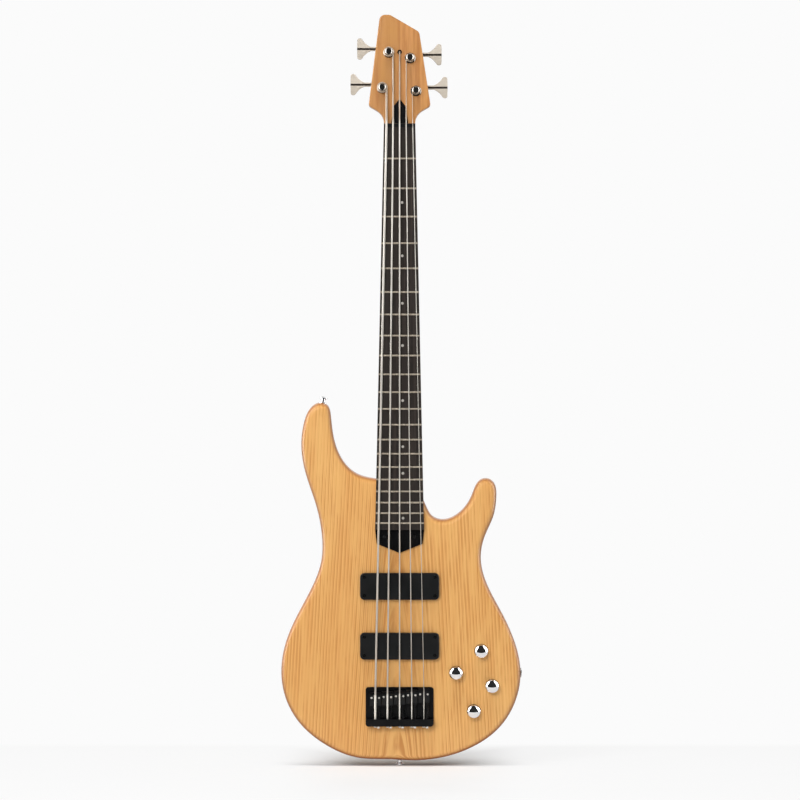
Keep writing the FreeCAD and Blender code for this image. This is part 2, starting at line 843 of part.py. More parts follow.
def make_body():
    pickup_room = [
        rounded_rectangle(
            mm("pickup_length + 2 * clear_gap"), mm("pickup_width + 2 * clear_gap"),
            mm("pickup_corner_radius + clear_gap"), mm(line))
        for line in PICKUP_LINES
    ]
    room_back = "pickup_floor_level + pickup_foam_thickness"
    room_depth = "pickup_sunk + pickup_foam_thickness + overrun"
    tools = [
        padded("neck_pocket", heel_outline(mm("fit_gap"), "body_top_line"), "pocket_level",
               "heel_depth - neck_rise + overrun"),
        padded("neck_pickup_room", pickup_room[0], room_back, room_depth),
        padded("bridge_pickup_room", pickup_room[1], room_back, room_depth),
        padded("control_cavity", rounded_outline(cavity_corners(0)), "back_level + overrun",
               "back_level + overrun - cavity_level"),
        padded("cover_recess", rounded_outline(cavity_corners(mm("cover_lip"))), "back_level + overrun",
               "cover_thickness + overrun"),
        cylinder("jack_bore", "jack_radius + fit_gap", "jack_length + 2 * overrun",
                 "rim_reach + overrun - (jack_length + 2 * overrun)", 0, "jack_line", ALONG_X),
        cylinder("jack_seat_face", "jack_seat_radius", "jack_seat_depth + overrun",
                 "jack_seat", 0, "jack_line", ALONG_X),
        cylinder("control_lead_channel", "lead_channel_radius", "body_width / 8",
                 "pickup_length / 2 - overrun", "pickup_floor_level", "bridge_pickup_line", ALONG_X),
        cylinder("pickup_lead_channel", "lead_channel_radius", "neck_pickup_line - bridge_pickup_line",
                 "pickup_length / 4", "pickup_floor_level", "bridge_pickup_line"),
    ]
    recessed = cut("body_recessed", body_blank(), tools)
    through = "body_thickness + 2 * overrun"
    holes = [
        holes_along_y("pot_holes", knob_places(), "pot_thread_radius + fit_gap", "front_level - overrun",
                      "top_wall + 2 * overrun"),
        holes_along_y("neck_screw_holes", neck_screw_places(), "neck_screw_radius + fit_gap",
                      "front_level - overrun", through),
        holes_along_y("neck_ferrule_holes", neck_screw_places(), "neck_ferrule_radius + fit_gap",
                      "back_level - neck_ferrule_depth", "neck_ferrule_depth + overrun"),
        holes_along_y("pickup_screw_holes", pickup_screw_places(*PICKUP_LINES),
                      "small_screw_radius + fit_gap", "front_level",
                      "pickup_screw_length - pickup_rise + small_screw_head_height + fit_gap"),
        holes_along_y("bridge_screw_holes", bridge_screw_places(), "wood_screw_radius + fit_gap",
                      "front_level - overrun", "wood_screw_length + overrun"),
        holes_along_y("heel_cover_screw_holes", heel_cover_screw_places(), "small_screw_radius + fit_gap",
                      "front_level - overrun", "small_screw_length + overrun"),
        holes_along_y("cover_screw_holes", cover_screw_places(), "small_screw_radius + fit_gap",
                      "back_level - small_screw_head_height - small_screw_length - clear_gap",
                      "small_screw_length + small_screw_head_height"),
        strap_hole("horn_button_hole", horn_button_place()),
        strap_hole("end_button_hole", end_button_place()),
    ]
    return node("body", cut("body_drilled", recessed, holes))


make_body()


# Neck


def half_round(name, width, side, depth, place):
    """A neck section: flat in front, straight sides, and a half ellipse behind."""
    half = mm(width) / 2
    straight = mm(side)
    ellipse = Part.Ellipse(Vector(0, straight, 0), half, mm(depth) - straight)
    back = Part.ArcOfEllipse(ellipse, 0, math.pi).toShape()
    sides = [(-half, straight), (-half, 0), (half, 0), (half, straight)]
    corners = [Vector(across, back_by, 0) for across, back_by in sides]
    lines = [Part.makeLine(first, second) for first, second in zip(corners, corners[1:])]
    item = feature(name, Part.Wire(lines + [back]))
    item.Placement = place
    return item


def lofted(name, sections):
    item = doc.addObject("Part::Loft", name)
    item.Sections = sections
    item.Solid = True
    item.Ruled = True
    return item


def headstock_outline():
    half_nut = mm("board_nut_width") / 2
    half = mm("headstock_width") / 2
    length = mm("headstock_length")
    flare = (half_nut, headstock_flare_share * length, mm("headstock_flare_radius"))
    shoulder = (half, headstock_shoulder_share * length, mm("headstock_corner_radius"))
    tips = [
        (across * mm("headstock_width"), up * length, mm("headstock_tip_radius"))
        for across, up in headstock_corner_shares
    ]
    left = [(-across, up, radius) for across, up, radius in (shoulder, flare)]
    return rounded_outline([(-half_nut, 0, 0), (half_nut, 0, 0), flare, shoulder] + tips + left)


def make_headstock():
    plate = padded("headstock_plate", headstock_outline(), "headstock_thickness", "headstock_thickness")
    flat = mm("fit_gap")

    def is_rim(edge):
        return edge.BoundBox.YLength < flat and edge.BoundBox.ZMax > flat

    softened(plate, "headstock_edge_radius", is_rim)
    plate.Placement = on_headstock()
    return plate


def make_neck():
    plate = make_headstock()
    nut_place = at(0, mm("glue_level"), mm("headstock_line"))
    blend_place = at(0, mm("glue_level"), mm("blend_line"))
    heel_place = at(0, mm("glue_level"), mm("heel_top_line"))
    sunk = mm("headstock_edge_radius")
    shaft = lofted("neck_shaft", [
        half_round("shaft_low_section", board_width("blend_line"), "neck_side_height",
                   "neck_depth_at_heel", blend_place),
        half_round("shaft_high_section", "board_nut_width", "neck_side_height",
                   "neck_depth_at_nut", nut_place),
    ])
    blend = lofted("heel_blend", [
        half_round("heel_section", board_width("heel_top_line"), "heel_depth - neck_side_height",
                   "heel_depth", heel_place),
        half_round("blend_section", board_width("blend_line"), "neck_side_height",
                   "neck_depth_at_heel", blend_place),
    ])
    volute = lofted("volute", [
        half_round("volute_low_section", "board_nut_width", "neck_side_height",
                   "neck_depth_at_nut - headstock_edge_radius",
                   at(0, mm("glue_level") + sunk, mm("headstock_line"))),
        half_round("volute_high_section", "volute_width", "neck_side_height",
                   "headstock_thickness - 2 * headstock_edge_radius",
                   on_headstock(0, sunk, mm("volute_length"))),
    ])
    heel = padded("heel", heel_outline(0, "heel_top_line"), "pocket_level", "heel_depth")
    wood = fused("neck_wood", [heel, blend, shaft, plate, volute])
    channel = block("truss_rod_channel", "2 * (truss_rod_radius + fit_gap)",
                    "truss_rod_depth + truss_rod_radius + fit_gap + overrun",
                    "headstock_line - board_end_line - truss_rod_end", 0,
                    "glue_level - overrun", "board_end_line + truss_rod_end - fit_gap")
    access = cylinder("truss_rod_access", "truss_nut_radius + clear_gap",
                      "truss_nut_length + truss_access_length",
                      0, "truss_level", "headstock_line - truss_nut_length")
    screws = holes_along_y("neck_pilot_holes", neck_screw_places(), "neck_screw_radius + fit_gap",
                           "back_level - neck_screw_head_height - fit_gap - neck_screw_length - fit_gap",
                           "neck_screw_length")
    drilled = cut("neck_drilled", wood, [channel, access, screws] + headstock_holes())
    return node("neck", drilled)


def pilot_hole(seat):
    """A small screw's hole, from just above its seat down to its point."""
    hole = Part.makeCylinder(mm("small_screw_radius + fit_gap"), mm("small_screw_length + overrun"))
    hole.Placement = seat.multiply(at(0, 0, mm("overrun"), Rotation(Vector(1, 0, 0), 180)))
    return hole


def headstock_holes():
    """Tuner, clamp and screw holes through the tilted headstock."""
    shapes = []
    for index in range(len(tuner_place_shares)):
        across, up = tuner_place(index)
        front = on_headstock(across, -mm("overrun"), up, TO_BACK)
        through = Part.makeCylinder(mm("post_radius + clear_gap"), mm("headstock_thickness + 2 * overrun"))
        socket = Part.makeCylinder(mm("ferrule_sleeve_radius + fit_gap"), mm("ferrule_length + overrun"))
        for shape in (through, socket):
            shape.Placement = front
            shapes.append(shape)
        shapes += [pilot_hole(place) for place in tuner_screw_places(index)]
    clamp = Part.makeCylinder(mm("clamp_sleeve_radius + fit_gap"), mm("headstock_thickness + 2 * overrun"))
    clamp.Placement = on_headstock(0, -mm("overrun"), mm("clamp_distance"), TO_BACK)
    shapes.append(clamp)
    shapes += [pilot_hole(place) for place in truss_cover_screw_places()]
    return [feature("headstock_holes", shapes[0].fuse(shapes[1:]))]


def tuner_screw_places(index):
    """Seats of a tuner plate's four screws, with Z towards the screw's head."""
    across, up = tuner_place(index)
    side = mm("plate_width / 2 - plate_screw_inset")
    rise = mm("plate_height / 2 - plate_screw_inset")
    back = mm("headstock_thickness + plate_thickness")
    middle = up + mm("plate_rise")
    corners = [(x, z) for x in (-side, side) for z in (-rise, rise)]
    return [on_headstock(across + x, back, middle + z, TO_BACK) for x, z in corners]


def truss_cover_screw_places():
    front = -mm("truss_cover_thickness")
    rise = mm("truss_cover_side_length")
    return [on_headstock(0, front, rise, TO_FRONT)]


make_neck()


# Fingerboard, frets, dots and nut


def board_axis():
    return Vector(0, mm("board_level + board_radius"), 0)


def swept_round_board(face, half_angle):
    """A face in the middle plane turned about the fingerboard's axis to both sides."""
    face.rotate(board_axis(), Vector(0, 0, 1), -half_angle)
    return face.revolve(board_axis(), Vector(0, 0, 1), 2 * half_angle)


def half_angle_at(line, inset):
    half = mm(board_width(line)) / 2 - inset
    return math.degrees(math.asin(half / mm("board_radius")))


def fret_shape(number):
    line = mm(fret_line(number))
    level = mm("board_level")
    crown = mm("fret_crown_width") / 2
    tang = mm("fret_tang_width") / 2
    foot = level + mm("fret_tang_depth")
    left, right = Vector(0, level, line - crown), Vector(0, level, line + crown)
    outline = [right, Vector(0, level, line + tang), Vector(0, foot, line + tang)]
    outline += [Vector(0, foot, line - tang), Vector(0, level, line - tang), left]
    edges = [Part.makeLine(first, second) for first, second in zip(outline, outline[1:])]
    edges.append(Part.Arc(left, Vector(0, level - mm("fret_crown_height"), line), right).toShape())
    face = Part.Face(Part.Wire(edges))
    return swept_round_board(face, half_angle_at(fret_line(number), mm("fret_end_inset")))


def slot_shape(number):
    line = mm(fret_line(number))
    half = mm("fret_tang_width / 2 + fit_gap")
    top = mm("board_level - overrun")
    foot = mm("board_level + fret_tang_depth + fit_gap")
    corners = [(top, -half), (top, half), (foot, half), (foot, -half), (top, -half)]
    face = Part.Face(Part.makePolygon([Vector(0, level, line + offset) for level, offset in corners]))
    return swept_round_board(face, half_angle_at(fret_line(number), -mm("overrun")))


def dot_places():
    places = []
    for number in dotted_frets:
        line = mm(f"({fret_line(number - 1)} + {fret_line(number)}) / 2")
        progress = (mm("nut_line") - line) / mm("scale_length")
        spacing = mm("nut_spacing") + (mm("bridge_spacing") - mm("nut_spacing")) * progress
        places.append((dot_offset_share * spacing, line))
    return places


def fret_numbers():
    return range(1, int(mm("fret_count")) + 1)


def dot_cylinders(name):
    """The dots with their tops standing above the fingerboard."""
    return holes_along_y(name, dot_places(), "dot_radius", "board_level - overrun", "dot_depth + overrun")


def make_fingerboard():
    end = mm("board_end_width") / 2
    high = mm("board_nut_width") / 2
    corners = [(-end, "board_end_line"), (end, "board_end_line"), (high, "nut_line"), (-high, "nut_line")]
    edges = rounded_outline([(across, mm(line), 0) for across, line in corners])
    blank = padded("board_blank", edges, "glue_level", "board_thickness + overrun")
    crown = cylinder("board_crown", "board_radius", "board_length + 2 * overrun", 0,
                     "board_level + board_radius", "board_end_line - overrun")
    slots = feature("fret_slots", Part.makeCompound([slot_shape(number) for number in fret_numbers()]))
    dots = dot_cylinders("dot_holes")
    crowned = shared("board_crowned", blank, crown)
    return node("fingerboard", cut("board_slotted", crowned, [slots, dots]))


def make_position_dots():
    crown = doc.getObject("board_crown")
    return node("position_dots", shared("dots_flush", dot_cylinders("dot_blanks"), crown))


def make_frets():
    wires = Part.makeCompound([fret_shape(number) for number in fret_numbers()])
    return node("frets", feature("fret_wires", wires))


def make_nut():
    blank = block("nut_blank", "board_nut_width", "board_thickness + nut_rise", "nut_thickness", 0,
                  "board_level - nut_rise", "nut_line")
    slots = []
    for letter in string_letters:
        gauge = mm(f"string_{letter}_gauge + 2 * fit_gap")
        across = rank_of(letter) * mm("nut_spacing")
        level = string_under(across, "nut_string_level") - gauge / 2
        top = mm("board_level - nut_rise - overrun")
        corner = Vector(across - gauge / 2, top, mm("nut_line - overrun"))
        opening = Part.makeBox(gauge, level - top, mm("nut_thickness + 2 * overrun"), corner)
        slots.append(opening.fuse(string_run(letter, mm("fit_gap"))))
    return node("nut", cut("nut_slotted", blank, [feature("nut_slots", Part.makeCompound(slots))]))


make_fingerboard()
make_frets()
make_position_dots()
make_nut()


# Truss rod, covers and their screws


def hexagon(radius, across=0.0, up=0.0):
    """The six edges of a nut whose corners lie on a circle."""
    corners = []
    for step in range(6):
        way = Rotation(Vector(0, 0, 1), 60 * step).multVec(Vector(radius, 0, 0))
        corners.append((across + way.x, up + way.y, 0))
    return rounded_outline(corners)


def make_truss_rod():
    rod = cylinder("truss_rod_bar", "truss_rod_radius",
                   "headstock_line - truss_nut_length - board_end_line - truss_rod_end", 0,
                   "truss_level", "board_end_line + truss_rod_end")
    adjuster = padded("truss_rod_adjuster", hexagon(mm("truss_nut_radius"), 0.0, mm("truss_level")),
                      "headstock_line - truss_nut_length", "truss_nut_length", "XY_Plane")
    return node("truss_rod", fused("truss_rod_joined", [rod, adjuster]))


def make_truss_rod_cover():
    low = mm("fit_gap")
    base = mm("truss_cover_base_width") / 2
    shoulder = mm("truss_cover_shoulder_width") / 2
    radius = mm("truss_cover_corner_radius")
    side = mm("truss_cover_side_length")
    right = [(base, low, radius), (shoulder, side, radius)]
    left = [(-across, up, turn) for across, up, turn in reversed(right)]
    outline = rounded_outline(right + [(0, mm("truss_cover_length"), radius)] + left)
    plate = padded("truss_cover_plate", outline, 0, "truss_cover_thickness")
    plate.Placement = on_headstock()
    hole = feature("truss_cover_hole", pilot_hole(truss_cover_screw_places()[0]))
    return node("truss_rod_cover", cut("truss_cover_drilled", plate, [hole]))


def make_heel_cover():
    top = mm("board_end_line - fit_gap")
    wide = mm("board_end_width") / 2
    narrow = mm("heel_cover_low_width") / 2
    radius = mm("heel_cover_corner_radius")
    right = [(narrow, top - mm("heel_cover_side_length"), radius), (wide, top, 0)]
    left = [(-across, up, turn) for across, up, turn in reversed(right)]
    outline = rounded_outline([(0, top - mm("heel_cover_length"), radius)] + right + left)
    plate = padded("heel_cover_plate", outline, "front_level", "neck_rise")
    holes = holes_along_y("heel_cover_holes", heel_cover_screw_places(), "small_screw_radius + fit_gap",
                          "front_level - neck_rise - overrun", "neck_rise + 2 * overrun")
    return node("heel_cover", cut("heel_cover_drilled", plate, [holes]))


def make_control_cover():
    outline = rounded_outline(cavity_corners(mm("cover_lip - clear_gap / 2")))
    plate = padded("control_cover_plate", outline, "back_level", "cover_thickness")
    holes = holes_along_y("control_cover_holes", cover_screw_places(), "small_screw_radius + fit_gap",
                          "back_level - cover_thickness - overrun", "cover_thickness + 2 * overrun")
    seats = holes_along_y("control_cover_seats", cover_screw_places(), "small_screw_head_radius + fit_gap",
                          "back_level - small_screw_head_height - fit_gap",
                          "small_screw_head_height + overrun")
    return node("control_cover", cut("control_cover_drilled", plate, [holes, seats]))


def make_cover_screws():
    places = truss_cover_screw_places()
    places += [at(x, mm("glue_level"), z, TO_FRONT) for x, z in heel_cover_screw_places()]
    seat = mm("back_level - small_screw_head_height - fit_gap")
    places += [at(x, seat, z, TO_BACK) for x, z in cover_screw_places()]
    return group("cover_screws", small_screw, places)


def make_neck_fasteners():
    ferrule = turned("neck_ferrule", [
        ("neck_screw_radius + fit_gap", "-neck_ferrule_depth"),
        ("neck_ferrule_radius", "-neck_ferrule_depth"),
        ("neck_ferrule_radius", 0),
        ("neck_screw_head_radius + fit_gap", 0),
        ("neck_screw_head_radius + fit_gap", "-neck_screw_head_height - fit_gap"),
        ("neck_screw_radius + fit_gap", "-neck_screw_head_height - fit_gap"),
    ])
    back = mm("back_level")
    group("neck_ferrules", ferrule, [at(x, back, z, TO_BACK) for x, z in neck_screw_places()])
    seat = mm("back_level - neck_screw_head_height - fit_gap")
    group("neck_screws", neck_screw, [at(x, seat, z, TO_BACK) for x, z in neck_screw_places()])


def make_strap_buttons():
    bore = "wood_screw_radius + fit_gap"
    cup = "wood_screw_head_radius + fit_gap"
    cup_floor = "strap_button_height - wood_screw_head_height - fit_gap"
    profile = [
        (bore, 0),
        ("strap_base_radius", 0),
        ("strap_base_radius", f"strap_base_thickness * {bevel_share}"),
        ("strap_stem_radius", "strap_base_thickness + strap_base_thickness / 2"),
        ("strap_stem_radius", "strap_button_height - 2 * strap_cap_thickness"),
        ("strap_cap_radius", "strap_button_height - strap_cap_thickness"),
        ("strap_cap_radius", f"strap_button_height - strap_cap_thickness * (1 - {bevel_share})"),
        (cup, "strap_button_height"),
        (cup, cup_floor),
        (bore, cup_floor),
    ]
    places = {"strap_button_end": end_button_place(), "strap_button_horn": horn_button_place()}
    for label, place in places.items():
        node(label, turned(label + "_turned", profile)).Placement = place


def make_wood_screws():
    seat = mm("strap_button_height - wood_screw_head_height - fit_gap")
    places = [end_button_place().multiply(at(0, 0, seat)), horn_button_place().multiply(at(0, 0, seat))]
    places += [at(x, mm("bridge_level"), z, TO_FRONT) for x, z in bridge_screw_places()]
    return group("wood_screws", wood_screw, places)


make_truss_rod()
make_truss_rod_cover()
make_heel_cover()
make_control_cover()
make_cover_screws()
make_neck_fasteners()
make_strap_buttons()
make_wood_screws()


# Pickups


def make_pickup(label, line):
    """A soapbar shell with its screw posts, open behind."""
    outer = rounded_rectangle(mm("pickup_length"), mm("pickup_width"), mm("pickup_corner_radius"), mm(line))
    inner = rounded_rectangle(mm("pickup_length - 2 * pickup_wall"), mm("pickup_width - 2 * pickup_wall"),
                              mm("pickup_corner_radius - pickup_wall"), mm(line))
    shell = padded(label + "_shell", outer, "pickup_floor_level", "pickup_rise + pickup_sunk")
    top = mm("pickup_top_level")
    flat = mm("fit_gap")

    def is_top_rim(edge):
        return edge.BoundBox.YLength < flat and abs(edge.BoundBox.YMin - top) < flat

    softened(shell, "pickup_edge_radius", is_top_rim)
    room = padded(label + "_room", inner, "pickup_floor_level + overrun",
                  "pickup_rise + pickup_sunk - pickup_wall + overrun")
    places = pickup_screw_places(line)
    posts = holes_along_y(label + "_posts", places, "pickup_post_radius",
                          "pickup_top_level + pickup_wall / 2",
                          "pickup_rise + pickup_sunk - pickup_wall / 2")
    bores = holes_along_y(label + "_bores", places, "small_screw_radius + fit_gap",
                          "pickup_top_level - overrun", "pickup_rise + pickup_sunk + 2 * overrun")
    seats = holes_along_y(label + "_seats", places, "small_screw_head_radius + clear_gap / 2",
                          "pickup_top_level - overrun", "small_screw_head_height + overrun")
    hollow = cut(label + "_hollow", shell, [room])
    posted = fused(label + "_posted", [hollow, posts])
    return node(label, cut(label + "_drilled", posted, [bores, seats]))


def coil_shape(line, side):
    """One racetrack coil on its bobbin, flanged at both ends and hung from the shell's top wall."""
    length = mm("pickup_length - 2 * pickup_screw_inset - 2 * pickup_post_radius - 2 * clear_gap")
    width = mm("coil_width")
    centre = mm(line) + side * mm("coil_width / 2 + clear_gap")
    depth = mm("pickup_rise + pickup_sunk - pickup_wall") - mm("coil_flange_thickness")
    flange = mm("coil_flange_thickness")
    front = mm("pickup_top_level + pickup_wall")

    def racetrack(inset, start, thickness):
        height = width - 2 * inset
        edges = rounded_rectangle(length - 2 * inset, height, height / 2 * coil_end_share, centre)
        wire = Part.Wire([edge.toShape() for edge in edges])
        wire.rotate(Vector(), Vector(1, 0, 0), 90)
        wire.translate(Vector(0, start, 0))
        return Part.Face(wire).extrude(Vector(0, thickness, 0))

    winding = racetrack(mm("coil_flange_lip"), front + flange, depth - 2 * flange)
    ends = [racetrack(0, front, flange), racetrack(0, front + depth - flange, flange)]
    return winding.fuse(ends).removeSplitter()


def make_pickup_insides():
    coils = [coil_shape(line, side) for line in PICKUP_LINES for side in (-1, 1)]
    node("pickup_coils", feature("pickup_coil_set", Part.makeCompound(coils)))
    pads = [
        block(f"{line}_foam", "pickup_length - 4 * pickup_screw_inset", "pickup_foam_thickness",
              "pickup_width - pickup_screw_inset", 0, "pickup_floor_level",
              f"{line} - (pickup_width - pickup_screw_inset) / 2")
        for line in PICKUP_LINES
    ]
    foam = doc.addObject("Part::Compound", "pickup_foam_pads")
    foam.Links = pads
    node("pickup_foam", foam)
    seat = mm("pickup_top_level + small_screw_head_height")
    places = pickup_screw_places(*PICKUP_LINES)
    group("pickup_screws", pickup_screw, [at(x, seat, z, TO_FRONT) for x, z in places])


make_pickup("neck_pickup_cover", "neck_pickup_line")
make_pickup("bridge_pickup_cover", "bridge_pickup_line")
make_pickup_insides()


# Bridge


def string_ranks():
    return [(letter, rank_of(letter)) for letter in string_letters]


def intonation_across(rank):
    return rank * mm("bridge_spacing") + mm("intonation_screw_offset")


def saddle_tail(rank):
    return f"({saddle_crest(rank)} + saddle_crest_inset - saddle_length)"


def holes_along_z(name, places, radius, low, depth):
    """Round holes at places in X and Y that start at the height low and go up."""
    shapes = []
    for across, level in places:
        shapes.append(Part.makeCylinder(mm(radius), mm(depth), Vector(across, level, mm(low))))
    return feature(name, Part.makeCompound(shapes))


def make_bridge_plate():
    centre = mm("bridge_top_line - bridge_length / 2")
    radius = mm("bridge_corner_radius")
    base = rounded_rectangle(mm("bridge_width"), mm("bridge_length"), radius, centre)
    plate = padded("bridge_base", base, "front_level", "bridge_thickness")
    half = mm("bridge_width") / 2
    low, high = mm("bridge_low_line"), mm("wall_line")
    wall_corners = [(-half, low, radius), (half, low, radius), (half, high, 0), (-half, high, 0)]
    wall = padded("bridge_wall", rounded_outline(wall_corners), "front_level",
                  "bridge_thickness + bridge_wall_height")
    tail = mm("tail_level")
    strings = [(rank * mm("bridge_spacing"), tail) for _, rank in string_ranks()]
    screws = [(intonation_across(rank), mm("intonation_level")) for _, rank in string_ranks()]
    tools = [
        holes_along_z("string_holes", strings, "string_b_gauge / 2 + clear_gap",
                      "bridge_low_line - overrun", "bridge_wall_depth + 2 * overrun"),
        holes_along_z("ball_pockets", strings, "ball_radius + fit_gap", "bridge_low_line - overrun",
                      "ball_length - ball_proud + fit_gap + overrun"),
        holes_along_z("intonation_holes", screws, "intonation_screw_radius + fit_gap",
                      "bridge_low_line - overrun", "bridge_wall_depth + 2 * overrun"),
        holes_along_y("bridge_plate_holes", bridge_screw_places(), "wood_screw_radius + fit_gap",
                      "bridge_level - overrun", "bridge_thickness + 2 * overrun"),
    ]
    return node("bridge_plate", cut("bridge_drilled", fused("bridge_bent", [plate, wall]), tools))


def make_saddle(letter, rank):
    """A saddle block with a grooved crest, on two height screws."""
    across = rank * mm("bridge_spacing")
    crest_level = mm("saddle_string_level - saddle_groove") + crown_drop(across)
    crest = saddle_crest(rank)
    foot = "bridge_level - saddle_foot"
    nose = f"{crest} + saddle_crest_inset"
    name = f"saddle_{letter}_block"
    body = doc.addObject("PartDesign::Body", name)
    sketch = sketch_in(body, name + "_profile", "YZ_Plane", across)
    polygon(sketch, [
        (foot, nose),
        (foot, saddle_tail(rank)),
        (f"{crest_level} + saddle_tail_drop", saddle_tail(rank)),
        (f"{crest_level} + saddle_nose_drop / 3", f"{crest} - saddle_crest_width * 2"),
        (crest_level, f"{crest} - saddle_crest_width / 2"),
        (crest_level, f"{crest} + saddle_crest_width / 2"),
        (f"{crest_level} + saddle_nose_drop", nose),
    ])
    pad = body.newObject("PartDesign::Pad", name + "_pad")
    pad.Profile = sketch
    pad.Midplane = True
    bind(pad, Length="saddle_width")
    body.Tip = pad
    screw_line = mm(f"{crest} - height_screw_inset")
    side = mm("height_screw_spread") / 2
    places = [(across - side, screw_line), (across + side, screw_line)]
    top = crest_level + mm("saddle_nose_drop / 2 - height_screw_proud")
    length = mm("bridge_level") - top - mm("fit_gap")
    screws = []
    holes = []
    for x, z in places:
        back = Vector(0, 1, 0)
        screws.append(Part.makeCylinder(mm("height_screw_radius"), length, Vector(x, top, z), back))
        above = Vector(x, top - length / 2, z)
        holes.append(Part.makeCylinder(mm("height_screw_radius + fit_gap"), 2 * length, above, back))
    tools = [
        feature(name + "_screw_holes", Part.makeCompound(holes)),
        feature(name + "_groove", string_run(letter, mm("fit_gap"))),
        holes_along_z(name + "_bore", [(intonation_across(rank), mm("intonation_level"))],
                      "intonation_screw_radius + running_gap", f"{saddle_tail(rank)} - overrun",
                      "intonation_bore_depth + overrun"),
    ]
    grooved = cut(name + "_grooved", body, tools)
    doc.recompute()
    shape = Part.makeCompound([grooved.Shape] + screws)
    return node(f"saddle_{letter}", feature(f"saddle_{letter}_set", shape))


def make_intonation_screws():
    shapes = []
    for _, rank in string_ranks():
        foot = Vector(intonation_across(rank), mm("intonation_level"), mm("bridge_low_line"))
        length = mm(f"{saddle_tail(rank)} + intonation_screw_grip - bridge_low_line")
        shank = Part.makeCylinder(mm("intonation_screw_radius"), length, foot)
        head_height = mm("intonation_head_height")
        head = Part.makeCylinder(mm("intonation_head_radius"), head_height, foot, Vector(0, 0, -1))
        shapes.append(shank.fuse(head).removeSplitter())
    return node("intonation_screws", feature("intonation_screw_set", Part.makeCompound(shapes)))


def make_intonation_springs():
    shapes = []
    for _, rank in string_ranks():
        wire_radius = mm("spring_wire_radius")
        length = mm(f"{saddle_tail(rank)} - wall_line") - 2 * wire_radius
        helix = Part.makeHelix(length / spring_turns, length, mm("spring_radius"))
        start = Vector(mm("spring_radius"), 0, 0)
        section = Part.Wire(Part.makeCircle(wire_radius, start, Vector(0, 1, 0)))
        spring = Part.Wire(helix).makePipeShell([section], True, True)
        foot = Vector(intonation_across(rank), mm("intonation_level"), mm("wall_line") + wire_radius)
        spring.translate(foot)
        shapes.append(spring)
    return node("intonation_springs", feature("intonation_spring_set", Part.makeCompound(shapes)))


make_bridge_plate()
for string_letter, string_rank in string_ranks():
    make_saddle(string_letter, string_rank)
make_intonation_screws()
make_intonation_springs()


# Controls and output jack


def make_knob(number, across, up):
    """A domed knob, hollow over the panel nut, with the control's shaft in its bore."""
    name = f"knob_{number}"
    rim = "knob_height - knob_dome_height"
    ball_radius = "(knob_radius ^ 2 + knob_dome_height ^ 2) / (2 * knob_dome_height)"
    barrel = cylinder(name + "_barrel", "knob_radius", "knob_height")
    dome = doc.addObject("Part::Sphere", name + "_dome")
    bind(dome, Radius=ball_radius)
    put(dome, 0, 0, f"knob_height - {ball_radius}")
    domed = shared(name + "_domed", barrel, dome)
    tools = [
        cylinder(name + "_hollow", "nut_hex_radius + clear_gap",
                 "nut_hex_height + thread_proud + clear_gap + overrun", 0, 0, "-overrun"),
        cylinder(name + "_bore", "pot_shaft_radius + fit_gap", f"{rim} + overrun", 0, 0, "-overrun"),
    ]
    hollow = cut(name + "_hollowed", domed, tools)
    edge_radius = mm("knob_radius")
    rim_height = mm(rim)

    flat = mm("fit_gap")

    def is_shoulder(edge):
        box = edge.BoundBox
        level = box.ZLength < flat and abs(box.ZMin - rim_height) < flat
        return level and box.XLength > edge_radius

    smooth = rounded(name + "_smooth", hollow, "knob_edge_radius", is_shoulder)
    base = mm("cavity_level + pot_body_height / 2")
    doc.recompute()
    place = at(across, mm("front_level - knob_gap"), up, TO_FRONT)
    shell = smooth.Shape.copy()
    shell.Placement = place
    shaft_end = mm("front_level - knob_gap") - rim_height
    foot = Vector(across, base, up)
    shaft = Part.makeCylinder(mm("pot_shaft_radius"), base - shaft_end, foot, Vector(0, -1, 0))
    return node(name, feature(name + "_set", Part.makeCompound([shell, shaft])))


def make_potentiometers():
    shapes = []
    bushing_end = mm("front_level - nut_hex_height - thread_proud")
    for across, up in knob_places():
        level = mm("cavity_level")
        back = Vector(0, 1, 0)
        end = Vector(across, bushing_end, up)
        can = Part.makeCylinder(mm("pot_radius"), mm("pot_body_height"), Vector(across, level, up), back)
        bushing = Part.makeCylinder(mm("pot_thread_radius"), level - bushing_end + mm("overrun"), end, back)
        depth = level - bushing_end + mm("pot_body_height / 2 + running_gap")
        bore = Part.makeCylinder(mm("pot_shaft_radius + running_gap"), depth, end, back)
        shapes.append(can.fuse(bushing).cut(bore).removeSplitter())
    return node("potentiometers", feature("potentiometer_set", Part.makeCompound(shapes)))


def panel_nut(radius, bore, place):
    wire = Part.Wire([edge.toShape() for edge in hexagon(radius)])
    solid = Part.Face(wire).extrude(Vector(0, 0, mm("nut_hex_height")))
    nut = solid.cut(Part.makeCylinder(bore, mm("nut_hex_height")))
    nut.Placement = place
    return nut


def make_panel_nuts():
    bore = mm("pot_thread_radius + fit_gap")
    places = [at(x, mm("front_level"), z, TO_FRONT) for x, z in knob_places()]
    shapes = [panel_nut(mm("nut_hex_radius"), bore, place) for place in places]
    jack_bore = mm("jack_thread_radius + fit_gap")
    jack_place = at(mm("jack_seat"), 0, mm("jack_line"), ALONG_X)
    shapes.append(panel_nut(mm("jack_hex_radius"), jack_bore, jack_place))
    return node("panel_nuts", feature("panel_nut_set", Part.makeCompound(shapes)))


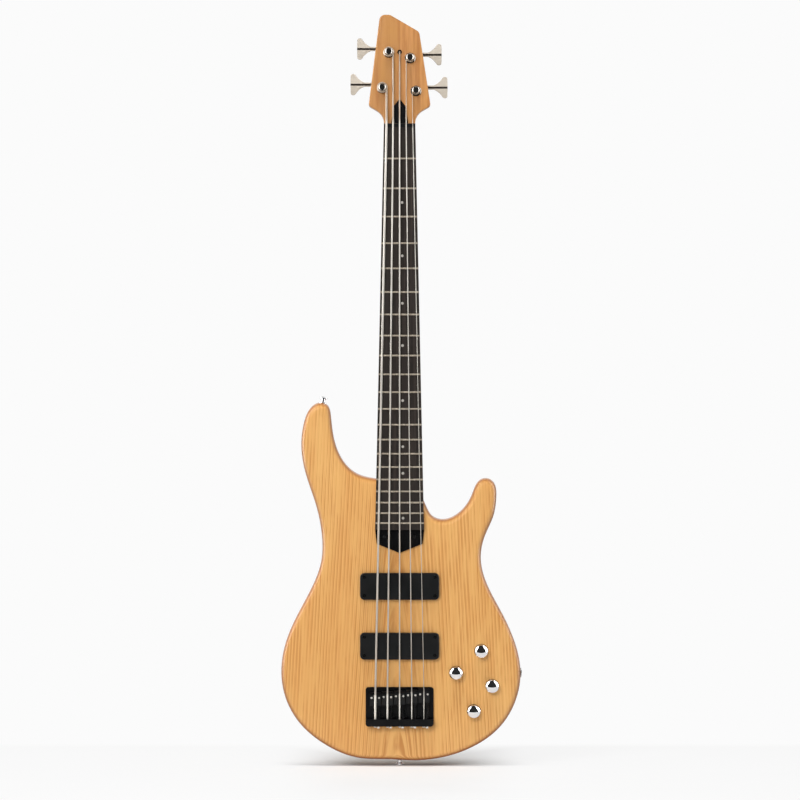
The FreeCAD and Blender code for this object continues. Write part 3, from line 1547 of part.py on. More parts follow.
def make_output_jack():
    barrel = cylinder("jack_barrel", "jack_radius", "jack_length",
                      "jack_seat - jack_length", 0, "jack_line", ALONG_X)
    thread = cylinder("jack_thread", "jack_thread_radius", "nut_hex_height + thread_proud + overrun",
                      "jack_seat - overrun", 0, "jack_line", ALONG_X)
    mouth = "jack_seat + nut_hex_height + thread_proud"
    bore = cylinder("jack_plug_bore", "jack_plug_radius", "jack_length", f"{mouth} + overrun - jack_length",
                    0, "jack_line", ALONG_X)
    return node("output_jack", cut("jack_bored", fused("jack_turned", [barrel, thread]), [bore]))


for knob_number, (knob_across, knob_up) in enumerate(knob_places(), start=1):
    make_knob(knob_number, knob_across, knob_up)
make_potentiometers()
make_panel_nuts()
make_output_jack()


# Tuners with worm and wheel


def on_tuner(index, y=0.0, z=0.0, turn=UPRIGHT):
    """A placement on a tuner's middle plane, measured from its post on the headstock's face."""
    across, up = tuner_place(index)
    return on_headstock(across, y, up + z, turn)


def outward(index):
    """Half a turn for the tuners whose keys point to the bass side."""
    return Rotation(Vector(0, 0, 1), 180 if tuner_place(index)[0] < 0 else 0)


def copied(label, prototype, place):
    doc.recompute()
    copy = prototype.Shape.copy()
    copy.Placement = place.multiply(prototype.Shape.Placement)
    return node(label, feature(label + "_copy", copy))


def make_post():
    """A string post along Z with zero on the headstock's face, riveted over its gear at the low end."""
    back = "-(gear_level + gear_thickness)"
    post = turned("post_turned", [
        (0, f"{back} - rivet_height"),
        ("rivet_radius", f"{back} - rivet_height"),
        ("rivet_radius", back),
        ("gear_seat_radius", back),
        ("gear_seat_radius", "-gear_level"),
        ("post_radius", "-gear_level"),
        ("post_radius", "post_shoulder_height"),
        ("post_shoulder_radius", "post_shoulder_height"),
        ("post_waist_radius", "post_waist_height"),
        ("post_waist_radius", "post_cap_height"),
        ("post_cap_radius", "post_cap_height"),
        ("post_cap_radius", "post_height"),
        (0, "post_height"),
    ])
    top = mm("post_height - fit_gap")
    softened(post, "post_cap_rounding", lambda edge: edge.BoundBox.ZMin > top)
    slot = block("post_slot", "post_slot_width", "2 * (post_cap_radius + overrun)",
                 "post_slot_depth + overrun", 0, "-post_cap_radius - overrun", "post_height - post_slot_depth")
    return cut("post_slotted", post, [slot])


def flank_angle():
    return math.radians(mm("tooth_flank_angle"))


def gear_sizes():
    """Pitch, root and tip radius of the gear."""
    module = mm("gear_module")
    pitch = module * mm("gear_teeth") / 2
    return pitch, pitch - module * root_share, pitch + module


def tooth_half_angle(radius):
    """Half the angle that an involute tooth fills at a radius."""
    pitch, _, _ = gear_sizes()
    half = (math.pi * mm("gear_module") / 2 - mm("tooth_backlash")) / 2
    base = pitch * math.cos(flank_angle())
    lean = math.acos(min(1, base / radius))
    return half / pitch + math.tan(flank_angle()) - flank_angle() - math.tan(lean) + lean


def gear_outline(turn, height):
    """The gear's outline at a height, turned by an angle, with one tooth on the Y axis."""
    pitch, root, tip = gear_sizes()
    base = pitch * math.cos(flank_angle())
    count = int(mm("gear_teeth"))
    points = []
    for tooth in range(count):
        middle = math.pi / 2 + 2 * math.pi * tooth / count + turn
        flank = [(radius, tooth_half_angle(radius)) for radius in (root, base, pitch, tip)]
        rising = [(radius, middle - half) for radius, half in flank]
        falling = [(radius, middle + half) for radius, half in reversed(flank)]
        for radius, angle in rising + falling:
            points.append(Vector(radius * math.cos(angle), radius * math.sin(angle), height))
    return Part.makePolygon(points + points[:1])


def make_gear():
    """A helical gear along Z, with its teeth slanted by the worm's lead."""
    pitch, _, _ = gear_sizes()
    thickness = mm("gear_thickness - 2 * fit_gap")
    low = -mm("gear_level + fit_gap") - thickness
    lead = mm("gear_module / (2 * worm_pitch_radius)")
    turn = thickness * lead / pitch
    wires = [gear_outline(-turn / 2, low), gear_outline(turn / 2, low + thickness)]
    blank = feature("gear_toothed", Part.makeLoft(wires, True, True))
    bore = cylinder("gear_bore", "gear_seat_radius + fit_gap", "gear_thickness + 2 * overrun", 0, 0,
                    "-(gear_level + gear_thickness + overrun)")
    return cut("gear_bored", blank, [bore])


def worm_thread():
    """The worm's thread about Z, with a groove in the middle on its X side."""
    pitch = math.pi * mm("gear_module")
    centre = mm("worm_pitch_radius")
    half = (pitch / 2 - mm("tooth_backlash")) / 2
    foot = centre - mm("gear_module") * root_share - mm("fit_gap")
    crest = centre + mm("gear_module")
    slope = math.tan(flank_angle())
    foot_half = half + (centre - foot) * slope
    crest_half = half - (crest - centre) * slope
    corners = [(foot, -foot_half), (crest, -crest_half), (crest, crest_half), (foot, foot_half)]
    points = [Vector(radius, 0, offset) for radius, offset in corners]
    section = Part.makePolygon(points + points[:1])
    length = worm_turns * pitch
    thread = Part.Wire(Part.makeHelix(pitch, length, centre)).makePipeShell([section], True, True)
    thread.translate(Vector(0, 0, -length / 2))
    return feature("worm_thread", thread)


def make_worm_shaft():
    core = f"worm_pitch_radius - gear_module * {root_share}"
    half = "worm_length / 2"
    lug_end = "worm_length / 2 + 2 * lug_play + lug_thickness"
    key_start = "key_inner - key_collar_length"
    shaft = turned("worm_shaft_turned", [
        (0, f"-({lug_end})"),
        ("worm_journal_radius", f"-({lug_end})"),
        ("worm_journal_radius", f"-{half}"),
        (core, f"-{half}"),
        (core, half),
        ("worm_journal_radius", half),
        ("worm_journal_radius", lug_end),
        ("worm_sleeve_radius", lug_end),
        ("worm_sleeve_radius", key_start),
        ("key_spigot_radius", key_start),
        ("key_spigot_radius", f"{key_start} + key_spigot_length"),
        (0, f"{key_start} + key_spigot_length"),
    ])
    return fused("worm_shaft_threaded", [shaft, worm_thread()])


def key_edges():
    """A fishtail with two wings, from the neck at its inner end."""
    inner = mm("key_inner")
    neck = mm("key_neck_radius")

    def spot(along_share, up_share):
        return Vector(inner + along_share * mm("key_length"), up_share * mm("key_half_height"), 0)

    def below(point):
        return Vector(point.x, -point.y, 0)

    start = Vector(inner, neck * bevel_share, 0)
    flare, wing = [spot(*shares) for shares in key_flare_shares]
    tip, heel = [spot(*shares) for shares in key_corner_shares]
    upper = [(start, flare, wing), (wing, tip, heel)]
    lower = [tuple(below(point) for point in reversed(arc)) for arc in reversed(upper)]
    arcs = upper + [(heel, spot(1, 0), below(heel))] + lower
    return [Part.Arc(*arc) for arc in arcs] + [Part.LineSegment(below(start), start)]


def make_key():
    """A key along X, thick on its middle ridge and thin at its wings, with a bore for the shaft."""
    wings = padded("key_wings", key_edges(), "key_thickness / 2", "key_thickness")
    ridge = mm("key_neck_radius") / 3
    thick, thin, tall = mm("key_thickness") / 2, mm("key_edge_thickness") / 2, mm("key_half_height")
    right = [(thin, -tall, 0), (thick, -ridge, 0), (thick, ridge, 0), (thin, tall, 0)]
    left = [(-across, -up, 0) for across, up, _ in right]
    section = padded("key_section", rounded_outline(right + left), "key_inner", "key_length", "YZ_Plane")
    collar = cylinder("key_collar", "key_neck_radius", "key_collar_length + key_thickness / 2",
                      "key_inner - key_collar_length", 0, 0, ALONG_X)
    bore = cylinder("key_bore", "key_spigot_radius + fit_gap", "key_spigot_length + clear_gap + overrun",
                    "key_inner - key_collar_length - overrun", 0, 0, ALONG_X)
    return cut("key_bored", fused("key_joined", [shared("key_shaped", wings, section), collar]), [bore])


def make_tuner_plate():
    """A back plate with two bored lugs for the worm shaft, placed as on_tuner measures."""
    back = "headstock_thickness + plate_thickness"
    outline = rounded_rectangle(mm("plate_width"), mm("plate_height"), mm("plate_corner_radius"),
                                mm("plate_rise"))
    pieces = [padded("tuner_plate_base", outline, back, "plate_thickness")]
    for side in (-1, 1):
        middle = f"{side} * (worm_length / 2 + lug_play + lug_thickness / 2)"
        lug = block(f"tuner_lug_{side + 1}", "lug_thickness",
                    "worm_level + worm_journal_radius + lug_rim - headstock_thickness", "lug_width",
                    middle, "headstock_thickness", "centre_distance - lug_width / 2")
        pieces.append(lug)
    reach = mm("worm_length + overrun")
    journal = Part.makeCylinder(mm("worm_journal_radius + running_gap"), 2 * reach,
                                Vector(-reach, mm("worm_level"), mm("centre_distance")), Vector(1, 0, 0))
    holes = [feature("tuner_journals", journal)]
    holes.append(holes_along_y("tuner_post_hole", [(0, 0)], "post_radius + running_gap",
                               "headstock_thickness - overrun", "plate_thickness + 2 * overrun"))
    side = mm("plate_width / 2 - plate_screw_inset")
    rise = mm("plate_height / 2 - plate_screw_inset")
    places = [(x, mm("plate_rise") + z) for x in (-side, side) for z in (-rise, rise)]
    holes.append(holes_along_y("tuner_plate_holes", places, "small_screw_radius + fit_gap",
                               "headstock_thickness - overrun", "plate_thickness + 2 * overrun"))
    return cut("tuner_plate_drilled", fused("tuner_plate_joined", pieces), holes)


def make_ferrules():
    bore = "post_radius + running_gap"
    ferrule = turned("post_ferrule", [
        (bore, "-ferrule_length"),
        ("ferrule_sleeve_radius", "-ferrule_length"),
        ("ferrule_sleeve_radius", 0),
        ("ferrule_flange_radius", 0),
        ("ferrule_flange_radius", f"ferrule_flange_thickness * {bevel_share}"),
        ("ferrule_flange_radius - ferrule_flange_thickness / 2", "ferrule_flange_thickness"),
        (bore, "ferrule_flange_thickness"),
    ])
    bore = "string_a_gauge / 2 + fit_gap"
    clamp = turned("string_clamp", [
        (bore, "-clamp_depth"),
        ("clamp_sleeve_radius", "-clamp_depth"),
        ("clamp_sleeve_radius", 0),
        ("clamp_radius", 0),
        ("clamp_radius", "clamp_flange_thickness"),
        (bore, "clamp_flange_thickness"),
    ])
    doc.recompute()
    shapes = []
    for index in range(len(tuner_place_shares)):
        copy = ferrule.Shape.copy()
        copy.Placement = on_tuner(index, 0, 0, TO_FRONT)
        shapes.append(copy)
    ring = clamp.Shape.copy()
    ring.Placement = on_headstock(0, 0, mm("clamp_distance"), TO_FRONT)
    return node("headstock_ferrules", feature("headstock_ferrule_set", Part.makeCompound(shapes + [ring])))


def make_tuners():
    post, gear, shaft, key = make_post(), make_gear(), make_worm_shaft(), make_key()
    tuners = range(len(tuner_place_shares))
    for index in tuners:
        number = index + 1
        worm = (mm("worm_level"), mm("centre_distance"))
        copied(f"tuner_post_{number}", post, on_tuner(index, 0, 0, TO_FRONT))
        copied(f"tuner_gear_{number}", gear, on_tuner(index, 0, 0, TO_FRONT))
        copied(f"worm_shaft_{number}", shaft, on_tuner(index, *worm, outward(index).multiply(ALONG_X)))
        copied(f"tuner_key_{number}", key, on_tuner(index, *worm, outward(index)))
    group("tuner_plates", make_tuner_plate(), [on_tuner(index) for index in tuners])
    group("tuner_screws", small_screw, [place for index in tuners for place in tuner_screw_places(index)])


make_tuners()
make_ferrules()


# Checks and export

doc.recompute()
broken = [item.Name for item in doc.Objects if "Invalid" in item.State or "Error" in item.State]
broken += [label for label, item in nodes.items() if item.Shape.isNull() or not item.Shape.isValid()]
if broken:
    raise RuntimeError("not valid: " + ", ".join(broken))
os.makedirs("parts", exist_ok=True)
for label, item in nodes.items():
    item.Shape.exportStep(f"parts/{label}.step")
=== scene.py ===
import json
import math

import bmesh
import bpy
import numpy as np
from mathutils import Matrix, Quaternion, Vector


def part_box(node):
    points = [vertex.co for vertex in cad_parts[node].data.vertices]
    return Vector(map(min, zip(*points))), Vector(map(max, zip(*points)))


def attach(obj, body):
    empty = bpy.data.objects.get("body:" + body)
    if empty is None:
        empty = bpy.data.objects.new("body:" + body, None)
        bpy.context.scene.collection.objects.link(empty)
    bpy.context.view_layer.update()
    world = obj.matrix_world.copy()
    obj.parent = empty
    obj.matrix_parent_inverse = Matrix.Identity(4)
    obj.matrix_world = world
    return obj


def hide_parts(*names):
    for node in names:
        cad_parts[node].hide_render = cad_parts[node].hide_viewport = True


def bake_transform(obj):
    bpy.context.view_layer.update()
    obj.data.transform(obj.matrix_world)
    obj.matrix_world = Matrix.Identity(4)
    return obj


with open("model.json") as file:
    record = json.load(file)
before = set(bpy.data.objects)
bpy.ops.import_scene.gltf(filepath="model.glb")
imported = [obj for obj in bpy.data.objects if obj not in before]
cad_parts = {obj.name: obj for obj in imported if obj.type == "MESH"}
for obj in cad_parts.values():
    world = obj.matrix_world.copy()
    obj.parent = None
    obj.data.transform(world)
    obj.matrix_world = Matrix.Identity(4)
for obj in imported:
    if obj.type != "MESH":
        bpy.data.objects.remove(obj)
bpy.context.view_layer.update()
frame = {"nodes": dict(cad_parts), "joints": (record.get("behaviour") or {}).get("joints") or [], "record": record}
nodes = frame["nodes"]
groups = frame["record"]["behaviour"]["bodies"]
body_of = {name: body for body, members in groups.items() for name in members}
slot_of = {entry["node"]: entry["material_slot"] for entry in frame["record"]["subparts"]}
joint_place = {joint["name"]: Vector(joint["pos_m"]) for joint in frame["joints"] if "pos_m" in joint}
MM = 0.001

# Numbers and letters of the pieces that come in sets
TUNER_NUMBERS = (1, 2, 3, 4)
KNOB_NUMBERS = (1, 2, 3, 4)
STRING_LETTERS = "beadg"

# The photograph's frame, in its pixels, and the size that one pixel has on the instrument
PHOTO_WIDTH = 800
CENTRE_LINE_COLUMN = 399.6
FLOOR_ROW = 766.9
PIXEL_SIZE = 1.53 * MM

# Camera: its distance, rise and reach in metres, and its sensor's width in millimetres
CAMERA_DISTANCE = 30.0
CAMERA_RISE = 1.57
CAMERA_REACH = 4 * CAMERA_DISTANCE
CAMERA_SENSOR = 36.0

# Floor, in metres: its reach, and where it fades to the background behind the object and beside it
STAGE_REACH = 12.0
FADE_START = 0.12
FADE_END = 0.5
SIDE_FADE_START = 0.05
SIDE_FADE_END = 0.2
SIDE_GLOW = 0.82
PAPER_GREYS = (0.81, 0.83)

# Reflections of the floor turn dark in front of this edge, like a room's
MIRROR_EDGE = 0.45
MIRROR_FADE = 0.05
MIRRORED_PAPER = 0.02

# Brightness of the background, and of the air on matt surfaces and in reflections
BACKGROUND = 0.965
AIR_LIGHT = 0.19
AIR_MIRRORED = 0.03
AIR_FADE = 0.3

# Lamps for matt surfaces: place, aim and size in metres, and power in watts
KEY_LAMP = {"place": (-2.0, -5.5, 3.0), "aim": (0.0, 0.0, 0.5), "size": (3.4, 3.4), "power": 260.0}
OVERHEAD_LAMP = {"place": (-0.5, -1.5, 8.0), "aim": (0.0, -0.2, 0.0), "size": (3.0, 3.0), "power": 430.0}

# Panels for reflections, a pair on each side: how far out they are, and their places along Y and Z
LEFT_POWER = 44.0
RIGHT_POWER = 34.0
SIDE_PANEL_SIZE = (0.9, 2.2)
SIDE_PANEL_OUT = 1.5
SIDE_PANEL_LEVEL = (-0.28, 1.1)
SIDE_PANEL_LEAN = math.radians(14.0)
TOP_POWER = 6.0
TOP_PANEL_SIZE = (1.1, 0.6)
TOP_PANEL_OUT = 1.2
TOP_PANEL_LEVEL = (0.05, 2.2)
TOP_PANEL_AIM_OUT = 0.6
TOP_PANEL_AIM_LEVEL = (0.0, 0.5)

# Tones, as they look on screen from 0 to 255
# The ash's edge tone is partly painted shade
ASH = {"deep": (219, 164, 95), "pale": (228, 178, 109), "streak": (211, 147, 80), "line": (192, 129, 66),
       "fine_line": (194, 131, 68), "pore": (174, 112, 56), "rim": (158, 96, 45)}
MAPLE = {"left": (182, 128, 71), "right": (194, 137, 79), "cloud": (184, 132, 66),
         "streak": (166, 108, 54), "fleck": (172, 110, 60), "seam": (140, 88, 45)}
BOARD = {"deep": (32, 27, 24), "middle": (46, 39, 35), "pale": (68, 57, 49), "pore": (26, 23, 22)}
# The keys' dark line tone is painted shade
KEY_NICKEL = {"deep": (192, 182, 168), "pale": (202, 193, 179), "ridge": (38, 30, 26)}
WIRE = {"deep": (212, 206, 196), "pale": (228, 223, 214), "end": (186, 170, 152)}
PEARL = {"deep": (150, 146, 138), "pale": (188, 184, 176)}
FOAM = {"deep": (28, 28, 30), "pale": (58, 58, 60)}
COPPER = {"deep": (96, 44, 22), "pale": (178, 98, 54)}
POST_NICKEL = (206, 202, 195)
# Painted shade inside the tuner posts' slots
POST_SLOT_SHADE = (14, 14, 15)

# How far the tones of one finish lie apart
BLACK_DEEP_SHARE = 0.8
BLACK_PALE_SHARE = 1.2
METAL_DIM_SHARE = 0.94

# Body grain: the log's pith, how its rings narrow upwards, and how its lines lie and waver
PITH_X = -4.0 * MM
PITH_Y = 14.0 * MM
RING_TAPER = 0.05
LINE_SPACING = 4.8 * MM
LINE_WAVER = 6.0
FINE_LINE_SPACING = 2.4 * MM
FINE_LINE_WAVER = 7.0
GRAIN_STRETCH = 0.06
GRAIN_DRIFT = 0.5

# Painted shade on the body's rounded edges, partly also a deeper lacquer tone: the depths over which it fades to
# the faces, and the heights over which it weakens, so that it is darkest at the bottom
RIM_SHADE_DEPTHS = (16.0 * MM, 19.9 * MM)
RIM_SHADE_HEIGHTS = (20 * MM, 160 * MM)
RIM_SHADE_UPPER_SHARE = 0.75

# Headstock seam, painted shade along the keys' crest, string windings, darker string ends and coil windings
HALVES_MEET = (-0.1 * MM, 0.3 * MM)
SEAM_REACH = (0.2 * MM, 1.0 * MM)
RIDGE_SHADE_REACH = (1.3 * MM, 1.8 * MM)
WINDING_PITCH = 0.7 * MM
STRING_END_FADE = 10 * MM
COIL_PITCH = 0.4 * MM

# A wave texture's period at scale 1, the middle of a noise's range, and a mix node's colour sockets
WAVE_PERIOD = 2 * math.pi / 20
NOISE_LOW = 0.3
NOISE_HIGH = 0.7
MIX_FIRST, MIX_SECOND, MIX_RESULT = 6, 7, 2

# Smooth copies of the CAD's meshes, and the slot across the top of each tuner post
WELD_DISTANCE = 1e-6
SHARP_ANGLE = math.radians(32)
POST_SLOT_HALF = 1.25 * MM
POST_SLOT_DEPTH = 7.1 * MM

# Small pieces that the CAD leaves to the looks
ROUND_STEPS = 24
HEAD_EDGE_SHARE = 0.9
RECESS_SHARE = 0.62
RECESS_ARM_SHARE = 0.22
RECESS_PROUD = 0.04 * MM
CAP_HEIGHT = 0.5 * MM
CAP_SIDE_SHARE = 0.7
CAP_TOP_SHARE = 0.85
CAP_SOCKET_SHARE = 0.6
CAP_SOCKET_FLOOR = 0.2
HEAD_HEIGHT = 2.2 * MM
SLEEVE_SHARE = 1.05
WASHER_RIM = 0.5 * MM
WASHER_WIDTH = 1.5 * MM
WASHER_THICKNESS = 0.3 * MM
SIDE_DOT_RADIUS = 1.1 * MM
SIDE_DOT_PROUD = 0.12 * MM
SIDE_DOT_LEVEL_SHARE = 0.3
SIDE_DOT_EDGE_SHARE = 0.5
SIDE_DOT_TOP_SHARE = 0.8

# Ways that small pieces face
FORWARD = Vector((0, -1, 0))
DOWN = Vector((0, 0, -1))


# Node tree helpers


def new_material(name):
    """A node material with its shader, ready for a finish."""
    finish = bpy.data.materials.new(name)
    finish.use_nodes = True
    return finish, finish.node_tree, finish.node_tree.nodes["Principled BSDF"]


def add_node(tree, kind, **settings):
    """Adds a node and sets its options."""
    node = tree.nodes.new(kind)
    for name, value in settings.items():
        setattr(node, name, value)
    return node


def feed(tree, source, target):
    """Links an output to an input socket, or sets the input to a plain value."""
    if isinstance(source, bpy.types.NodeSocket):
        tree.links.new(source, target)
    else:
        target.default_value = source


def set_inputs(node, values):
    """Sets inputs of a node to plain values, by their names."""
    for name, value in values.items():
        node.inputs[name].default_value = value


def math_node(tree, operation, first, second=0.0):
    """The result of an operation on one or two values."""
    node = add_node(tree, "ShaderNodeMath", operation=operation)
    feed(tree, first, node.inputs[0])
    feed(tree, second, node.inputs[1])
    return node.outputs[0]


def srgb(red, green, blue):
    """A colour given as it looks on screen, from 0 to 255, in the shader's linear values."""

    def linear(value):
        share = value / 255
        return share / 12.92 if share <= 0.04045 else ((share + 0.055) / 1.055) ** 2.4

    return linear(red), linear(green), linear(blue)


def ramp(tree, factor, stops):
    """A colour ramp of (position, linear colour) stops."""
    node = add_node(tree, "ShaderNodeValToRGB")
    elements = node.color_ramp.elements
    while len(elements) < len(stops):
        elements.new(1.0)
    for element, (position, colour) in zip(elements, stops):
        element.position = position
        element.color = (*colour, 1.0)
    feed(tree, factor, node.inputs["Fac"])
    return node.outputs["Color"]


def two_tones(tree, factor, tones):
    """Runs from a deep tone to a pale one over the middle of a noise."""
    return ramp(tree, factor, [(NOISE_LOW, srgb(*tones["deep"])), (NOISE_HIGH, srgb(*tones["pale"]))])


def blended(tree, factor, first, second):
    """Mixes two colours, each an output or a tone as it looks on screen."""
    node = add_node(tree, "ShaderNodeMix", data_type="RGBA")
    feed(tree, factor, node.inputs["Factor"])
    for tone, socket in ((first, MIX_FIRST), (second, MIX_SECOND)):
        colour = tone if isinstance(tone, bpy.types.NodeSocket) else (*srgb(*tone), 1.0)
        feed(tree, colour, node.inputs[socket])
    return node.outputs[MIX_RESULT]


def level(tree, factor, low, high, bottom=0.0, top=1.0):
    """Maps a range of a value to another range, smoothly."""
    node = add_node(tree, "ShaderNodeMapRange", interpolation_type="SMOOTHSTEP")
    feed(tree, factor, node.inputs["Value"])
    set_inputs(node, {"From Min": low, "From Max": high, "To Min": bottom, "To Max": top})
    return node.outputs["Result"]


def own_vector(tree):
    """The coordinates of a piece's own place."""
    return add_node(tree, "ShaderNodeTexCoord").outputs["Object"]


def own_place(tree):
    """The three coordinates of a piece's own place, apart."""
    split = add_node(tree, "ShaderNodeSeparateXYZ")
    feed(tree, own_vector(tree), split.inputs[0])
    return split.outputs


def noise(tree, stretch, detail, roughness, distortion=0.0):
    """A noise on a piece's own place, with so many cells per metre along each axis."""
    mapping = add_node(tree, "ShaderNodeMapping")
    mapping.inputs["Scale"].default_value = stretch
    feed(tree, own_vector(tree), mapping.inputs["Vector"])
    node = add_node(tree, "ShaderNodeTexNoise")
    feed(tree, mapping.outputs["Vector"], node.inputs["Vector"])
    set_inputs(node, {"Scale": 1.0, "Detail": detail, "Roughness": roughness, "Distortion": distortion})
    return node.outputs["Fac"]


def bands(tree, vector, direction, spacing):
    """A wave texture with even bands along one axis."""
    node = add_node(tree, "ShaderNodeTexWave", wave_type="BANDS", bands_direction=direction)
    feed(tree, vector, node.inputs["Vector"])
    node.inputs["Scale"].default_value = WAVE_PERIOD / spacing
    return node


def roughened(tree, shader, factor, smooth, rough, low=NOISE_LOW, high=NOISE_HIGH):
    """Lets the roughness follow a texture."""
    feed(tree, level(tree, factor, low, high, smooth, rough), shader.inputs["Roughness"])


def bump(tree, shader, height, strength, distance):
    """Lets the relief follow a texture."""
    node = add_node(tree, "ShaderNodeBump")
    set_inputs(node, {"Strength": strength, "Distance": distance})
    feed(tree, height, node.inputs["Height"])
    feed(tree, node.outputs["Normal"], shader.inputs["Normal"])


def rays(tree):
    """Whether a ray comes from the camera, also through something clear, and whether from a reflection."""
    ray = add_node(tree, "ShaderNodeLightPath")
    seen = math_node(tree, "MAXIMUM", ray.outputs["Is Camera Ray"], ray.outputs["Is Transmission Ray"])
    return seen, ray.outputs["Is Glossy Ray"]


# Finishes


def ring_place(tree):
    """How far a point is from the log's pith, on rings that narrow upwards, and its place along them."""
    place = own_place(tree)
    across = math_node(tree, "SUBTRACT", place["X"], PITH_X)
    behind = math_node(tree, "SUBTRACT", place["Y"], PITH_Y)
    squares = [math_node(tree, "MULTIPLY", reach, reach) for reach in (across, behind)]
    radius = math_node(tree, "SQRT", math_node(tree, "ADD", *squares))
    joined = add_node(tree, "ShaderNodeCombineXYZ")
    ring = math_node(tree, "ADD", radius, math_node(tree, "MULTIPLY", place["Z"], RING_TAPER))
    feed(tree, ring, joined.inputs["X"])
    feed(tree, math_node(tree, "MULTIPLY", across, GRAIN_DRIFT), joined.inputs["Y"])
    feed(tree, math_node(tree, "MULTIPLY", place["Z"], GRAIN_STRETCH), joined.inputs["Z"])
    return joined.outputs["Vector"]


def grain_lines(tree, vector, spacing, waver):
    """Lines along the grain that waver and crowd, as where a saw cuts through growth rings."""
    lines = bands(tree, vector, "X", spacing)
    set_inputs(lines, {"Distortion": waver, "Detail": 3.0, "Detail Scale": 0.3, "Detail Roughness": 0.6})
    return lines.outputs["Fac"]


def body_ash():
    """Clear-lacquered ash: arched grain lines in broken dashes, pores, and on the rounded edges a deeper lacquer
    tone with painted shade, darkest at the bottom.
    """
    finish, tree, shader = new_material("body_ash")
    rings = ring_place(tree)
    lines = grain_lines(tree, rings, LINE_SPACING, LINE_WAVER)
    finer = grain_lines(tree, rings, FINE_LINE_SPACING, FINE_LINE_WAVER)
    dashes = noise(tree, (90, 30, 12), detail=3.0, roughness=0.6)
    streaks = noise(tree, (130, 40, 1.8), detail=4.0, roughness=0.6)
    pores = noise(tree, (900, 500, 16), detail=2.0, roughness=0.6)
    patches = noise(tree, (9, 9, 2.5), detail=2.0, roughness=0.5)
    plain = two_tones(tree, patches, ASH)
    streaked = blended(tree, level(tree, streaks, 0.4, 0.75, top=0.45), plain, ASH["streak"])
    strength = level(tree, dashes, 0.36, 0.64, bottom=0.15, top=0.9)
    dark_lines = math_node(tree, "MULTIPLY", level(tree, lines, 0.62, 1.0), strength)
    lined = blended(tree, dark_lines, streaked, ASH["line"])
    fine_lines = math_node(tree, "MULTIPLY", level(tree, finer, 0.55, 1.0, top=0.7), strength)
    fined = blended(tree, fine_lines, lined, ASH["fine_line"])
    pored = blended(tree, level(tree, pores, 0.58, 0.76, top=0.35), fined, ASH["pore"])
    place = own_place(tree)
    # The rounded edges: a deeper lacquer tone and painted shade, fading out on the faces and weakening upwards
    rim_depth = level(tree, math_node(tree, "ABSOLUTE", place["Y"]), *RIM_SHADE_DEPTHS, bottom=1.0, top=0.0)
    rim_height = level(tree, place["Z"], *RIM_SHADE_HEIGHTS, bottom=1.0, top=RIM_SHADE_UPPER_SHARE)
    rim = math_node(tree, "MULTIPLY", rim_depth, rim_height)
    feed(tree, blended(tree, rim, pored, ASH["rim"]), shader.inputs["Base Color"])
    roughened(tree, shader, pores, smooth=0.3, rough=0.42, high=0.8)
    set_inputs(shader, {"Specular IOR Level": 0.3, "Coat Weight": 0.35, "Coat Roughness": 0.26})
    bump(tree, shader, pores, strength=0.06, distance=0.2 * MM)
    return finish


def neck_maple():
    """Lacquered maple in two halves, with a seam up the middle of the headstock."""
    finish, tree, shader = new_material("neck_maple")
    streaks = noise(tree, (190, 60, 5), detail=4.0, roughness=0.55)
    flecks = noise(tree, (700, 400, 30), detail=2.0, roughness=0.6)
    clouds = noise(tree, (30, 30, 14), detail=3.0, roughness=0.5)
    across = own_place(tree)["X"]
    halves = blended(tree, level(tree, across, *HALVES_MEET), MAPLE["left"], MAPLE["right"])
    clouded = blended(tree, level(tree, clouds, 0.35, 0.75, top=0.6), halves, MAPLE["cloud"])
    streaked = blended(tree, level(tree, streaks, 0.4, 0.68, top=0.8), clouded, MAPLE["streak"])
    flecked = blended(tree, level(tree, flecks, 0.55, 0.8, top=0.3), streaked, MAPLE["fleck"])
    seam = level(tree, math_node(tree, "ABSOLUTE", across), *SEAM_REACH, bottom=0.35, top=0.0)
    feed(tree, blended(tree, seam, flecked, MAPLE["seam"]), shader.inputs["Base Color"])
    roughened(tree, shader, flecks, smooth=0.3, rough=0.4, high=0.8)
    set_inputs(shader, {"Coat Weight": 0.25, "Coat Roughness": 0.2})
    bump(tree, shader, flecks, strength=0.04, distance=0.15 * MM)
    return finish


def fingerboard_wood():
    """Dark oiled hardwood with long fine pores."""
    finish, tree, shader = new_material("fingerboard_wood")
    streaks = noise(tree, (420, 200, 5), detail=4.0, roughness=0.6)
    pores = noise(tree, (1500, 900, 45), detail=2.0, roughness=0.6)
    stops = ((0.3, "deep"), (0.55, "middle"), (0.8, "pale"))
    tone = ramp(tree, streaks, [(position, srgb(*BOARD[name])) for position, name in stops])
    pored = blended(tree, level(tree, pores, 0.55, 0.75, top=0.7), tone, BOARD["pore"])
    feed(tree, pored, shader.inputs["Base Color"])
    roughened(tree, shader, pores, smooth=0.45, rough=0.65, high=0.8)
    bump(tree, shader, pores, strength=0.12, distance=0.2 * MM)
    return finish


def moulded_black(name, tone, smooth, rough, grain, shine=0.5):
    """Black plastic or plated metal with a fine surface grain."""
    finish, tree, shader = new_material(name)
    fine = noise(tree, (grain, grain, grain), detail=3.0, roughness=0.6)
    worn = noise(tree, (40, 40, 40), detail=3.0, roughness=0.5)
    shares = {"deep": BLACK_DEEP_SHARE, "pale": BLACK_PALE_SHARE}
    tones = {depth: [value * share for value in tone] for depth, share in shares.items()}
    feed(tree, two_tones(tree, worn, tones), shader.inputs["Base Color"])
    roughened(tree, shader, worn, smooth, rough, low=0.2, high=0.8)
    shader.inputs["Specular IOR Level"].default_value = shine
    bump(tree, shader, fine, strength=0.05, distance=0.05 * MM)
    return finish


